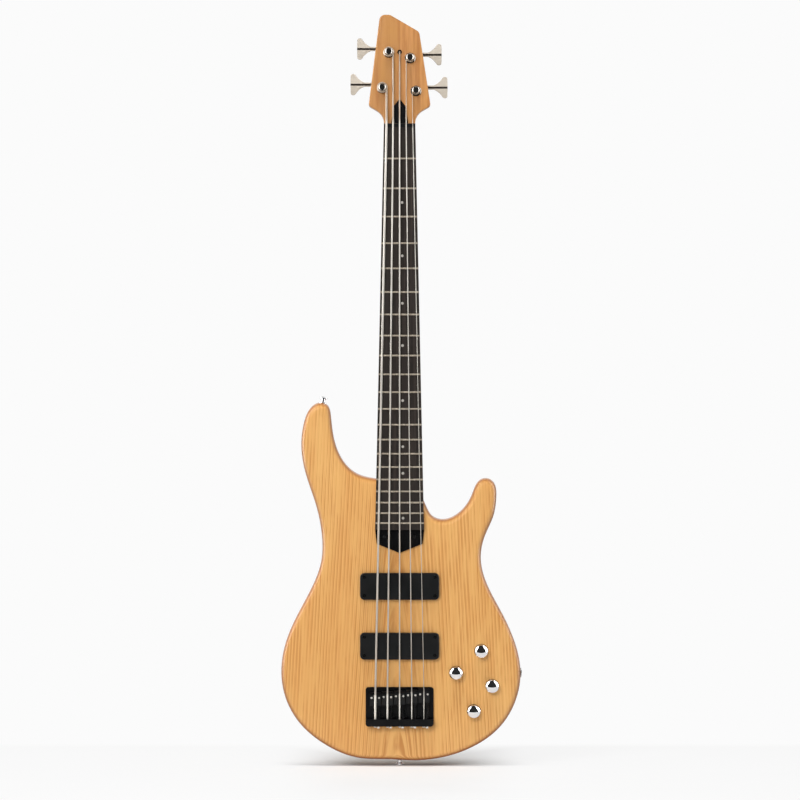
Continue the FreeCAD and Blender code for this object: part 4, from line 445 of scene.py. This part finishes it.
def polished_metal(name, tone, smooth, rough, shine=1.0):
    """Plated or polished metal whose shine varies a little over the surface."""
    finish, tree, shader = new_material(name)
    haze = noise(tree, (120, 120, 120), detail=4.0, roughness=0.6)
    bright = srgb(*tone)
    dim = tuple(value * METAL_DIM_SHARE for value in bright)
    feed(tree, ramp(tree, haze, [(NOISE_LOW, dim), (NOISE_HIGH, bright)]), shader.inputs["Base Color"])
    roughened(tree, shader, haze, smooth, rough)
    shader.inputs["Metallic"].default_value = shine
    return finish


def slotted_nickel():
    """Polished nickel of the tuner posts, with painted shade inside the slot that each post's attribute marks."""
    finish = polished_metal("post_nickel", POST_NICKEL, 0.15, 0.22)
    tree = finish.node_tree
    shader = tree.nodes["Principled BSDF"]
    bright = shader.inputs["Base Color"].links[0].from_socket
    mark = add_node(tree, "ShaderNodeAttribute", attribute_name="sunk")
    # Painted shade inside the slot
    feed(tree, blended(tree, mark.outputs["Fac"], bright, POST_SLOT_SHADE), shader.inputs["Base Color"])
    return finish


def satin_nickel():
    """Brushed nickel of the keys, with painted shade along the crest that each key's attribute marks."""
    finish, tree, shader = new_material("satin_nickel")
    brushed = noise(tree, (60, 400, 900), detail=3.0, roughness=0.6)
    plain = two_tones(tree, brushed, KEY_NICKEL)
    mark = add_node(tree, "ShaderNodeAttribute", attribute_name="rise")
    # Painted shade along each key's crest
    ridge = level(tree, math_node(tree, "ABSOLUTE", mark.outputs["Fac"]), *RIDGE_SHADE_REACH, bottom=1.0, top=0.0)
    feed(tree, blended(tree, ridge, plain, KEY_NICKEL["ridge"]), shader.inputs["Base Color"])
    roughened(tree, shader, brushed, smooth=0.36, rough=0.48)
    shader.inputs["Metallic"].default_value = 0.2
    return finish


def wound_string():
    """Bright wire wound round a core: fine ridges across the string, and a darker end past the nut."""
    finish, tree, shader = new_material("wound_string")
    turns = bands(tree, own_vector(tree), "Z", WINDING_PITCH)
    haze = noise(tree, (300, 300, 40), detail=2.0, roughness=0.5)
    nut_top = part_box("nut")[1].z
    past_nut = level(tree, own_place(tree)["Z"], nut_top, nut_top + STRING_END_FADE)
    tone = blended(tree, past_nut, two_tones(tree, haze, WIRE), WIRE["end"])
    feed(tree, tone, shader.inputs["Base Color"])
    roughened(tree, shader, haze, smooth=0.34, rough=0.46)
    shader.inputs["Metallic"].default_value = 0.45
    bump(tree, shader, turns.outputs["Fac"], strength=0.25, distance=0.12 * MM)
    return finish


def pearl():
    """Greyish pearl of the position dots."""
    finish, tree, shader = new_material("pearl_dot")
    swirl = noise(tree, (600, 600, 600), detail=3.0, roughness=0.6, distortion=1.5)
    feed(tree, two_tones(tree, swirl, PEARL), shader.inputs["Base Color"])
    roughened(tree, shader, swirl, smooth=0.15, rough=0.3)
    return finish


def soft_foam():
    """Dark foam or felt with open cells."""
    finish, tree, shader = new_material("soft_foam")
    cells = noise(tree, (900, 900, 900), detail=2.0, roughness=0.7)
    feed(tree, two_tones(tree, cells, FOAM), shader.inputs["Base Color"])
    roughened(tree, shader, cells, smooth=0.85, rough=0.95)
    bump(tree, shader, cells, strength=0.4, distance=0.4 * MM)
    return finish


def coil_wire():
    """Fine copper wire in even turns."""
    finish, tree, shader = new_material("coil_wire")
    turns = bands(tree, own_vector(tree), "Y", COIL_PITCH).outputs["Fac"]
    tone = ramp(tree, turns, [(0.0, srgb(*COPPER["deep"])), (1.0, srgb(*COPPER["pale"]))])
    feed(tree, tone, shader.inputs["Base Color"])
    roughened(tree, shader, turns, smooth=0.45, rough=0.3, low=0.0, high=1.0)
    shader.inputs["Metallic"].default_value = 0.7
    bump(tree, shader, turns, strength=0.3, distance=0.1 * MM)
    return finish


def emission(tree, strength):
    """White light of a given strength."""
    node = add_node(tree, "ShaderNodeEmission")
    set_inputs(node, {"Color": (1.0, 1.0, 1.0, 1.0), "Strength": strength})
    return node.outputs[0]


def mixed_shaders(tree, factor, first, second):
    """Mixes two shaders by a factor."""
    node = add_node(tree, "ShaderNodeMixShader")
    for source, socket in zip((factor, first, second), node.inputs):
        feed(tree, source, socket)
    return node.outputs[0]


def stage_paper():
    """White paper that takes shadows by the object, and fades into the white background away from it."""
    finish, tree, shader = new_material("stage_paper")
    tree.nodes.remove(shader)
    fibres = noise(tree, (3, 3, 3), detail=2.0, roughness=0.5)
    matt = add_node(tree, "ShaderNodeBsdfDiffuse")
    stops = [(position, (grey, grey, grey)) for position, grey in zip((NOISE_LOW, NOISE_HIGH), PAPER_GREYS)]
    feed(tree, ramp(tree, fibres, stops), matt.inputs["Color"])
    seen, in_mirror = rays(tree)
    place = own_place(tree)
    behind = level(tree, place["Y"], FADE_START, FADE_END)
    off_middle = math_node(tree, "ABSOLUTE", place["X"])
    aside = level(tree, off_middle, SIDE_FADE_START, SIDE_FADE_END, top=SIDE_GLOW)
    glowing = math_node(tree, "MULTIPLY", seen, math_node(tree, "MAXIMUM", behind, aside))
    paper = mixed_shaders(tree, glowing, matt.outputs[0], emission(tree, BACKGROUND))
    in_front = level(tree, place["Y"], -MIRROR_EDGE - MIRROR_FADE, -MIRROR_EDGE, bottom=1.0, top=0.0)
    darkened = math_node(tree, "MULTIPLY", in_mirror, in_front)
    surface = mixed_shaders(tree, darkened, paper, emission(tree, MIRRORED_PAPER))
    feed(tree, surface, tree.nodes["Material Output"].inputs["Surface"])
    return finish


bright_steel = polished_metal("bright_steel", (232, 228, 220), 0.16, 0.26, shine=0.45)
dark_screw = polished_metal("dark_screw", (14, 14, 15), 0.24, 0.34, shine=0.8)
ferrule_nickel = polished_metal("ferrule_nickel", (138, 133, 126), 0.16, 0.24)
# Black for the painted shade of the screws' drive recesses
painted_recess_shade = moulded_black("painted_recess_shade", (12, 12, 13), 0.5, 0.7, grain=900)
post_nickel = slotted_nickel()
key_nickel = satin_nickel()

finishes = {
    "body_wood": body_ash(),
    "neck_wood": neck_maple(),
    "fingerboard_wood": fingerboard_wood(),
    "fret_steel": polished_metal("fret_wire", (190, 178, 160), 0.22, 0.32, shine=0.4),
    "dot_pearl": pearl(),
    "black_plastic": moulded_black("black_plastic", (17, 18, 19), 0.44, 0.56, grain=1800, shine=0.4),
    "black_gloss": moulded_black("black_gloss", (16, 16, 17), 0.14, 0.22, grain=600),
    "black_metal": moulded_black("black_metal", (11, 11, 12), 0.3, 0.42, grain=1200, shine=0.3),
    "chrome_plate": polished_metal("chrome_plate", (236, 236, 238), 0.04, 0.09),
    "plain_steel": polished_metal("plain_steel", (190, 190, 188), 0.28, 0.4),
    "coil_copper": coil_wire(),
    "foam_rubber": soft_foam(),
    "string_steel": wound_string(),
    "gear_brass": polished_metal("gear_brass", (206, 172, 96), 0.2, 0.32),
}


# Pieces of the frame


def welded_copy(name):
    """A CAD node's mesh with its triangles joined, shaded smooth between its sharp edges."""
    work = bmesh.new()
    work.from_mesh(nodes[name].data)
    bmesh.ops.remove_doubles(work, verts=work.verts, dist=WELD_DISTANCE)
    mesh = bpy.data.meshes.new(name + "_smooth")
    work.to_mesh(mesh)
    work.free()
    normals = mesh.attributes.get("custom_normal")
    if normals:
        mesh.attributes.remove(normals)
    mesh.shade_smooth()
    mesh.set_sharp_from_angle(angle=SHARP_ANGLE)
    return mesh


def linked(name, data):
    """A new object in the scene."""
    piece = bpy.data.objects.new(name, data)
    bpy.context.scene.collection.objects.link(piece)
    return piece


def standing(name, mesh, node, finish):
    """A piece that stands for a CAD node, or for a part of it, and is on no body yet."""
    mesh.materials.clear()
    mesh.materials.append(finish)
    piece = linked(name, mesh)
    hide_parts(node)
    return piece


def show_node(name, finish):
    """Shows a smooth copy of a CAD node in its place."""
    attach(standing(name + "_smooth", welded_copy(name), name, finish), body_of[name])


def parted(mesh, name, wanted):
    """A closed copy of the part of a mesh whose faces are wanted."""
    work = bmesh.new()
    work.from_mesh(mesh)
    bmesh.ops.delete(work, geom=[face for face in work.faces if not wanted(face)], context="FACES")
    bmesh.ops.holes_fill(work, edges=[edge for edge in work.edges if edge.is_boundary])
    bmesh.ops.recalc_face_normals(work, faces=work.faces)
    part = bpy.data.meshes.new(name)
    work.to_mesh(part)
    work.free()
    return part


def slides_between(piece):
    """Bakes a piece's place into its mesh."""
    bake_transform(piece)


def show_string(letter):
    """Shows a string in two pieces that meet on its saddle."""
    node, saddle = f"string_{letter}", f"saddle_{letter}"
    finish = finishes[slot_of[node]]
    whole = welded_copy(node)
    low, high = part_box(saddle)
    heights = [corner.co.z for corner in whole.vertices]
    bend = [height for height in heights if low.z < height < high.z]

    def in_tail(face):
        return max(corner.co.z for corner in face.verts) <= max(bend)

    tail_name, run_name = node + "_tail_smooth", node + "_smooth"
    tail = standing(tail_name, parted(whole, tail_name, in_tail), node, finish)
    slides_between(tail)
    run = standing(run_name, parted(whole, run_name, lambda face: not in_tail(face)), node, finish)
    slides_between(run)


def show_springs():
    """Shows each intonation spring as its own piece."""
    node = "intonation_springs"
    whole = welded_copy(node)
    for letter in STRING_LETTERS:
        low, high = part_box(f"saddle_{letter}")
        name = f"intonation_spring_{letter}_smooth"
        spring = parted(whole, name, lambda face: low.x < face.calc_center_median().x < high.x)
        piece = standing(name, spring, node, finishes[slot_of[node]])
        slides_between(piece)


def mark_rise(mesh, middle):
    """Stores each corner's height above a key's shaft, for the painted shade along its crest."""
    rise = mesh.attributes.new("rise", "FLOAT", "POINT")
    rise.data.foreach_set("value", [corner.co.z - middle for corner in mesh.vertices])


def mark_slot(mesh, middle):
    """Marks the faces inside the slot across the top of a tuner post, where shade is painted."""
    top = min(corner.co.y for corner in mesh.vertices)
    sunk = mesh.attributes.new("sunk", "FLOAT", "FACE")
    inside = [abs(face.center.x - middle) < POST_SLOT_HALF and face.center.y < top + POST_SLOT_DEPTH
              for face in mesh.polygons]
    sunk.data.foreach_set("value", [float(value) for value in inside])


def show_nodes():
    """Shows every node in its slot's finish, or in the one that its kind of piece has."""
    special = {"tuner_key": key_nickel, "tuner_post": post_nickel, "pickup_screws": dark_screw,
               "headstock_ferrules": ferrule_nickel}
    stretched = {f"string_{letter}" for letter in STRING_LETTERS} | {"intonation_springs"}
    for name, slot in slot_of.items():
        if name not in stretched:
            show_node(name, special.get(name.rstrip("_1234"), finishes[slot]))
    for letter in STRING_LETTERS:
        show_string(letter)
    show_springs()
    for number in TUNER_NUMBERS:
        mark_rise(bpy.data.objects[f"tuner_key_{number}_smooth"].data, joint_place[f"key_{number}_turn"].z)
        mark_slot(bpy.data.objects[f"tuner_post_{number}_smooth"].data, joint_place[f"post_{number}_turn"].x)


# Small repeated pieces


def islands(name):
    """The corner places of each separate solid in a node's smooth copy."""
    work = bmesh.new()
    work.from_mesh(bpy.data.objects[name + "_smooth"].data)
    left = set(work.verts)
    found = []
    while left:
        reached = [left.pop()]
        for corner in reached:
            fresh = {edge.other_vert(corner) for edge in corner.link_edges} & left
            left -= fresh
            reached.extend(fresh)
        found.append(np.array([corner.co for corner in reached]))
    work.free()
    return found


def screw_top(points):
    """Middle of a screw's head, the way that it faces, and the head's radius."""
    middle = points.mean(0)
    axis = np.linalg.eigh(np.cov((points - middle).T))[1][:, 2]
    along = (points - middle) @ axis
    radii = np.linalg.norm(points - middle - np.outer(along, axis), axis=1)
    if along[radii > radii.max() * HEAD_EDGE_SHARE].mean() < 0:
        axis, along = -axis, -along
    return Vector(middle + axis * along.max()), Vector(axis), radii.max()


def bridged(name, loops, closed=False):
    """A solid skinned over loops of equally many points, which is a ring if closed."""
    work = bmesh.new()
    rows = [[work.verts.new(point) for point in loop] for loop in loops]
    pairs = list(zip(rows, rows[1:])) + ([(rows[-1], rows[0])] if closed else [])
    for low, high in pairs:
        for index in range(len(low)):
            after = (index + 1) % len(low)
            work.faces.new((low[index], low[after], high[after], high[index]))
    if not closed:
        work.faces.new(rows[0])
        work.faces.new(rows[-1])
    bmesh.ops.recalc_face_normals(work, faces=work.faces)
    mesh = bpy.data.meshes.new(name)
    work.to_mesh(mesh)
    work.free()
    mesh.shade_smooth()
    mesh.set_sharp_from_angle(angle=SHARP_ANGLE)
    return linked(name, mesh)


def circle(radius, height):
    """The points of a circle round Z."""
    turns = [2 * math.pi * step / ROUND_STEPS for step in range(ROUND_STEPS)]
    return [(radius * math.cos(turn), radius * math.sin(turn), height) for turn in turns]


def hexagon(radius, height):
    """A hexagon with as many points as a circle has."""
    points = []
    for x, y, z in circle(1.0, height):
        turn = math.atan2(y, x) % (math.pi / 3) - math.pi / 6
        reach = radius * math.cos(math.pi / 6) / math.cos(turn)
        points.append((reach * x, reach * y, z))
    return points


def cross(width, height):
    """The corners of a cross with arms of length 1."""
    corners = []
    for quarter in range(4):
        turn = quarter * math.pi / 2
        for x, y in ((1.0, -width), (1.0, width), (width, width)):
            across = x * math.cos(turn) - y * math.sin(turn)
            corners.append((across, x * math.sin(turn) + y * math.cos(turn), height))
    return corners


def stamp_tree():
    """Puts one stamp on each place, turned and sized by the place's own attributes."""
    tree = bpy.data.node_groups.new("stamps_on_places", "GeometryNodeTree")
    tree.interface.new_socket("Places", in_out="INPUT", socket_type="NodeSocketGeometry")
    tree.interface.new_socket("Stamp", in_out="INPUT", socket_type="NodeSocketObject")
    tree.interface.new_socket("Finish", in_out="INPUT", socket_type="NodeSocketMaterial")
    tree.interface.new_socket("Pieces", in_out="OUTPUT", socket_type="NodeSocketGeometry")
    start, end = add_node(tree, "NodeGroupInput"), add_node(tree, "NodeGroupOutput")
    shape = add_node(tree, "GeometryNodeObjectInfo")
    facing = add_node(tree, "GeometryNodeInputNamedAttribute", data_type="FLOAT_VECTOR")
    size = add_node(tree, "GeometryNodeInputNamedAttribute", data_type="FLOAT_VECTOR")
    turn = add_node(tree, "FunctionNodeAlignRotationToVector", axis="Z")
    copies = add_node(tree, "GeometryNodeInstanceOnPoints")
    real = add_node(tree, "GeometryNodeRealizeInstances")
    dressed = add_node(tree, "GeometryNodeSetMaterial")
    facing.inputs["Name"].default_value = "facing"
    size.inputs["Name"].default_value = "size"
    feed(tree, start.outputs["Stamp"], shape.inputs["Object"])
    feed(tree, facing.outputs["Attribute"], turn.inputs["Vector"])
    feed(tree, start.outputs["Places"], copies.inputs["Points"])
    feed(tree, shape.outputs["Geometry"], copies.inputs["Instance"])
    feed(tree, turn.outputs["Rotation"], copies.inputs["Rotation"])
    feed(tree, size.outputs["Attribute"], copies.inputs["Scale"])
    feed(tree, copies.outputs["Instances"], real.inputs["Geometry"])
    feed(tree, real.outputs["Geometry"], dressed.inputs["Geometry"])
    feed(tree, start.outputs["Finish"], dressed.inputs["Material"])
    feed(tree, dressed.outputs["Geometry"], end.inputs["Pieces"])
    return tree


stamps = stamp_tree()


def stamped(name, body, places, stamp, finish):
    """One mesh on a body, with a stamp at each (place, facing, size)."""
    seeds = bpy.data.meshes.new(name + "_places")
    seeds.from_pydata([place for place, _, _ in places], [], [])
    for index, attribute in ((1, "facing"), (2, "size")):
        values = [value for place in places for value in place[index]]
        seeds.attributes.new(attribute, "FLOAT_VECTOR", "POINT").data.foreach_set("vector", values)
    piece = linked(name, seeds)
    modifier = piece.modifiers.new("stamps", "NODES")
    modifier.node_group = stamps
    sockets = {socket.name: socket.identifier for socket in stamps.interface.items_tree}
    modifier[sockets["Stamp"]] = stamp
    modifier[sockets["Finish"]] = finish
    shown = piece.evaluated_get(bpy.context.evaluated_depsgraph_get())
    mesh = bpy.data.meshes.new_from_object(shown)
    piece.modifiers.remove(modifier)
    piece.data = mesh
    mesh.name = name
    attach(piece, body)


def add_recess_shades():
    """A dark cross on the head of every screw: painted shade where its drive recess would be."""
    stamp = bridged("recess_stamp", [cross(RECESS_ARM_SHARE, -1.0), cross(RECESS_ARM_SHARE, 1.0)])
    for name in ("pickup_screws", "cover_screws", "wood_screws", "neck_screws", "tuner_screws"):
        places = []
        for points in islands(name):
            top, facing, radius = screw_top(points)
            reach = radius * RECESS_SHARE
            places.append((top, facing, (reach, reach, RECESS_PROUD)))
        stamped(name + "_recesses", body_of[name], places, stamp, painted_recess_shade)
    bpy.data.objects.remove(stamp)


def add_height_screw_caps(stamp):
    """A bright socket cap on both height screws of each saddle."""
    for letter in STRING_LETTERS:
        screws = sorted(islands(f"saddle_{letter}"), key=lambda points: np.ptp(points[:, 0]))[:2]
        places = []
        for points in screws:
            low, high = points.min(0), points.max(0)
            radius = (high[0] - low[0]) / 2
            top = Vector(((low[0] + high[0]) / 2, low[1], (low[2] + high[2]) / 2))
            places.append((top, FORWARD, (radius, radius, CAP_HEIGHT)))
        stamped(f"saddle_{letter}_screw_caps", f"saddle_{letter}_body", places, stamp, bright_steel)


def add_intonation_caps(stamp):
    """A bright socket cap over the head of each intonation screw."""
    places = []
    for points in islands("intonation_screws"):
        low, high = points.min(0), points.max(0)
        radius = (high[0] - low[0]) / 2
        seat = Vector(((low[0] + high[0]) / 2, (low[1] + high[1]) / 2, low[2] + HEAD_HEIGHT))
        reach = radius * SLEEVE_SHARE
        places.append((seat, DOWN, (reach, reach, HEAD_HEIGHT + CAP_HEIGHT)))
    stamped("intonation_screw_caps", "instrument", places, stamp, bright_steel)


def add_screw_caps():
    """Bright socket caps on the screws of the bridge."""
    outside = [circle(1.0, 0.0), circle(1.0, CAP_SIDE_SHARE), circle(CAP_TOP_SHARE, 1.0)]
    socket = [hexagon(CAP_SOCKET_SHARE, 1.0), hexagon(CAP_SOCKET_SHARE, CAP_SOCKET_FLOOR)]
    stamp = bridged("cap_stamp", outside + socket)
    add_height_screw_caps(stamp)
    add_intonation_caps(stamp)
    bpy.data.objects.remove(stamp)


def add_knob_washers_and_shade():
    """A dark felt washer under each knob, which also serves as painted shade round the knob's foot."""
    low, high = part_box("knob_1")
    radius = (high.x - low.x) / 2 + WASHER_RIM
    hole = 1 - WASHER_WIDTH / radius
    rings = [circle(1.0, 0.0), circle(1.0, 1.0), circle(hole, 1.0), circle(hole, 0.0)]
    stamp = bridged("washer_stamp", rings, closed=True)
    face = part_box("body")[0].y
    places = []
    for number in KNOB_NUMBERS:
        seat = joint_place[f"knob_{number}_turn"].copy()
        seat.y = face
        places.append((seat, FORWARD, (radius, radius, WASHER_THICKNESS)))
    stamped("knob_washers", "instrument", places, stamp, finishes["foam_rubber"])
    bpy.data.objects.remove(stamp)


def add_side_dots():
    """Small dots on the fingerboard's bass edge, level with those on its face."""
    low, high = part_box("fingerboard")
    nut_half = (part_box("nut")[1].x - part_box("nut")[0].x) / 2
    end_half = (high.x - low.x) / 2
    taper = (end_half - nut_half) / (high.z - low.z)
    outward = Vector((-1.0, 0.0, -taper)).normalized()
    depth = high.y - (high.y - low.y) * SIDE_DOT_LEVEL_SHARE
    places = []
    for points in islands("position_dots"):
        height = (points[:, 2].min() + points[:, 2].max()) / 2
        edge = Vector((-(end_half - taper * (height - low.z)), depth, height))
        places.append((edge, outward, (SIDE_DOT_RADIUS, SIDE_DOT_RADIUS, SIDE_DOT_PROUD)))
    rings = [circle(1.0, -1.0), circle(1.0, SIDE_DOT_EDGE_SHARE), circle(SIDE_DOT_TOP_SHARE, 1.0)]
    stamp = bridged("dot_stamp", rings)
    stamped("side_dots", "instrument", places, stamp, finishes["dot_pearl"])
    bpy.data.objects.remove(stamp)


# Studio


def add_stage():
    """A sheet of paper on the floor."""
    mesh = bpy.data.meshes.new("stage")
    ends = (-STAGE_REACH, STAGE_REACH)
    mesh.from_pydata([(across, along, 0.0) for along in ends for across in ends], [], [(0, 1, 3, 2)])
    mesh.materials.append(stage_paper())
    linked("stage", mesh)


def add_softbox(name, place, aim, size, power, mirrored, lean=0.0):
    """A rectangular lamp that only shows in reflections, or that only lights the scene."""
    lamp = bpy.data.lights.new(name, "AREA")
    lamp.shape = "RECTANGLE"
    lamp.size, lamp.size_y = size
    lamp.energy = power
    box = linked(name, lamp)
    box.location = place
    facing = (Vector(aim) - Vector(place)).to_track_quat("-Z", "Y")
    box.rotation_euler = (facing @ Quaternion((0.0, 0.0, 1.0), lean)).to_euler()
    box.visible_camera = False
    box.visible_glossy = mirrored
    box.visible_diffuse = not mirrored


def add_lights():
    """Two large lamps for the matt surfaces, and panels on both sides for the shine."""
    add_softbox("key_lamp", **KEY_LAMP, mirrored=False)
    add_softbox("overhead_lamp", **OVERHEAD_LAMP, mirrored=False)
    for side, power in ((-1, LEFT_POWER), (1, RIGHT_POWER)):
        place, aim = (side * SIDE_PANEL_OUT, *SIDE_PANEL_LEVEL), (0.0, *SIDE_PANEL_LEVEL)
        lean = side * SIDE_PANEL_LEAN
        add_softbox("side_panel", place, aim, SIDE_PANEL_SIZE, power, mirrored=True, lean=lean)
        place = (side * TOP_PANEL_OUT, *TOP_PANEL_LEVEL)
        aim = (side * TOP_PANEL_AIM_OUT, *TOP_PANEL_AIM_LEVEL)
        add_softbox("top_panel", place, aim, TOP_PANEL_SIZE, TOP_POWER, mirrored=True)


def add_air():
    """White to the camera, soft on matt surfaces, and in reflections dark in front and white behind."""
    world = bpy.data.worlds.new("studio_air")
    world.use_nodes = True
    tree = world.node_tree
    air = tree.nodes["Background"]
    air.inputs["Color"].default_value = (1.0, 1.0, 1.0, 1.0)
    seen, in_mirror = rays(tree)
    way = add_node(tree, "ShaderNodeSeparateXYZ")
    feed(tree, add_node(tree, "ShaderNodeTexCoord").outputs["Generated"], way.inputs["Vector"])
    strength = add_node(tree, "ShaderNodeMix", data_type="FLOAT")
    feed(tree, in_mirror, strength.inputs["Factor"])
    feed(tree, level(tree, seen, 0.0, 1.0, AIR_LIGHT, BACKGROUND), strength.inputs["A"])
    feed(tree, level(tree, way.outputs["Y"], 0.0, AIR_FADE, AIR_MIRRORED, BACKGROUND), strength.inputs["B"])
    feed(tree, strength.outputs["Result"], air.inputs["Strength"])
    bpy.context.scene.world = world


def add_camera():
    """A long lens that looks down a little, so that the floor shows."""
    across = (PHOTO_WIDTH / 2 - CENTRE_LINE_COLUMN) * PIXEL_SIZE
    middle = (FLOOR_ROW - PHOTO_WIDTH / 2) * PIXEL_SIZE
    aim = Vector((across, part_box("body")[0].y, middle))
    back = Vector((0.0, -CAMERA_DISTANCE, CAMERA_RISE))
    lens = bpy.data.cameras.new("photo_camera")
    lens.sensor_width = CAMERA_SENSOR
    lens.lens = CAMERA_SENSOR * back.length / (PHOTO_WIDTH * PIXEL_SIZE)
    lens.clip_end = CAMERA_REACH
    camera = linked("photo_camera", lens)
    camera.location = aim + back
    camera.rotation_euler = (-back).to_track_quat("-Z", "Y").to_euler()
    bpy.context.scene.camera = camera


show_nodes()
add_recess_shades()
add_screw_caps()
add_knob_washers_and_shade()
add_side_dots()
add_stage()
add_lights()
add_air()
add_camera()
bpy.context.scene.view_settings.view_transform = "Standard"
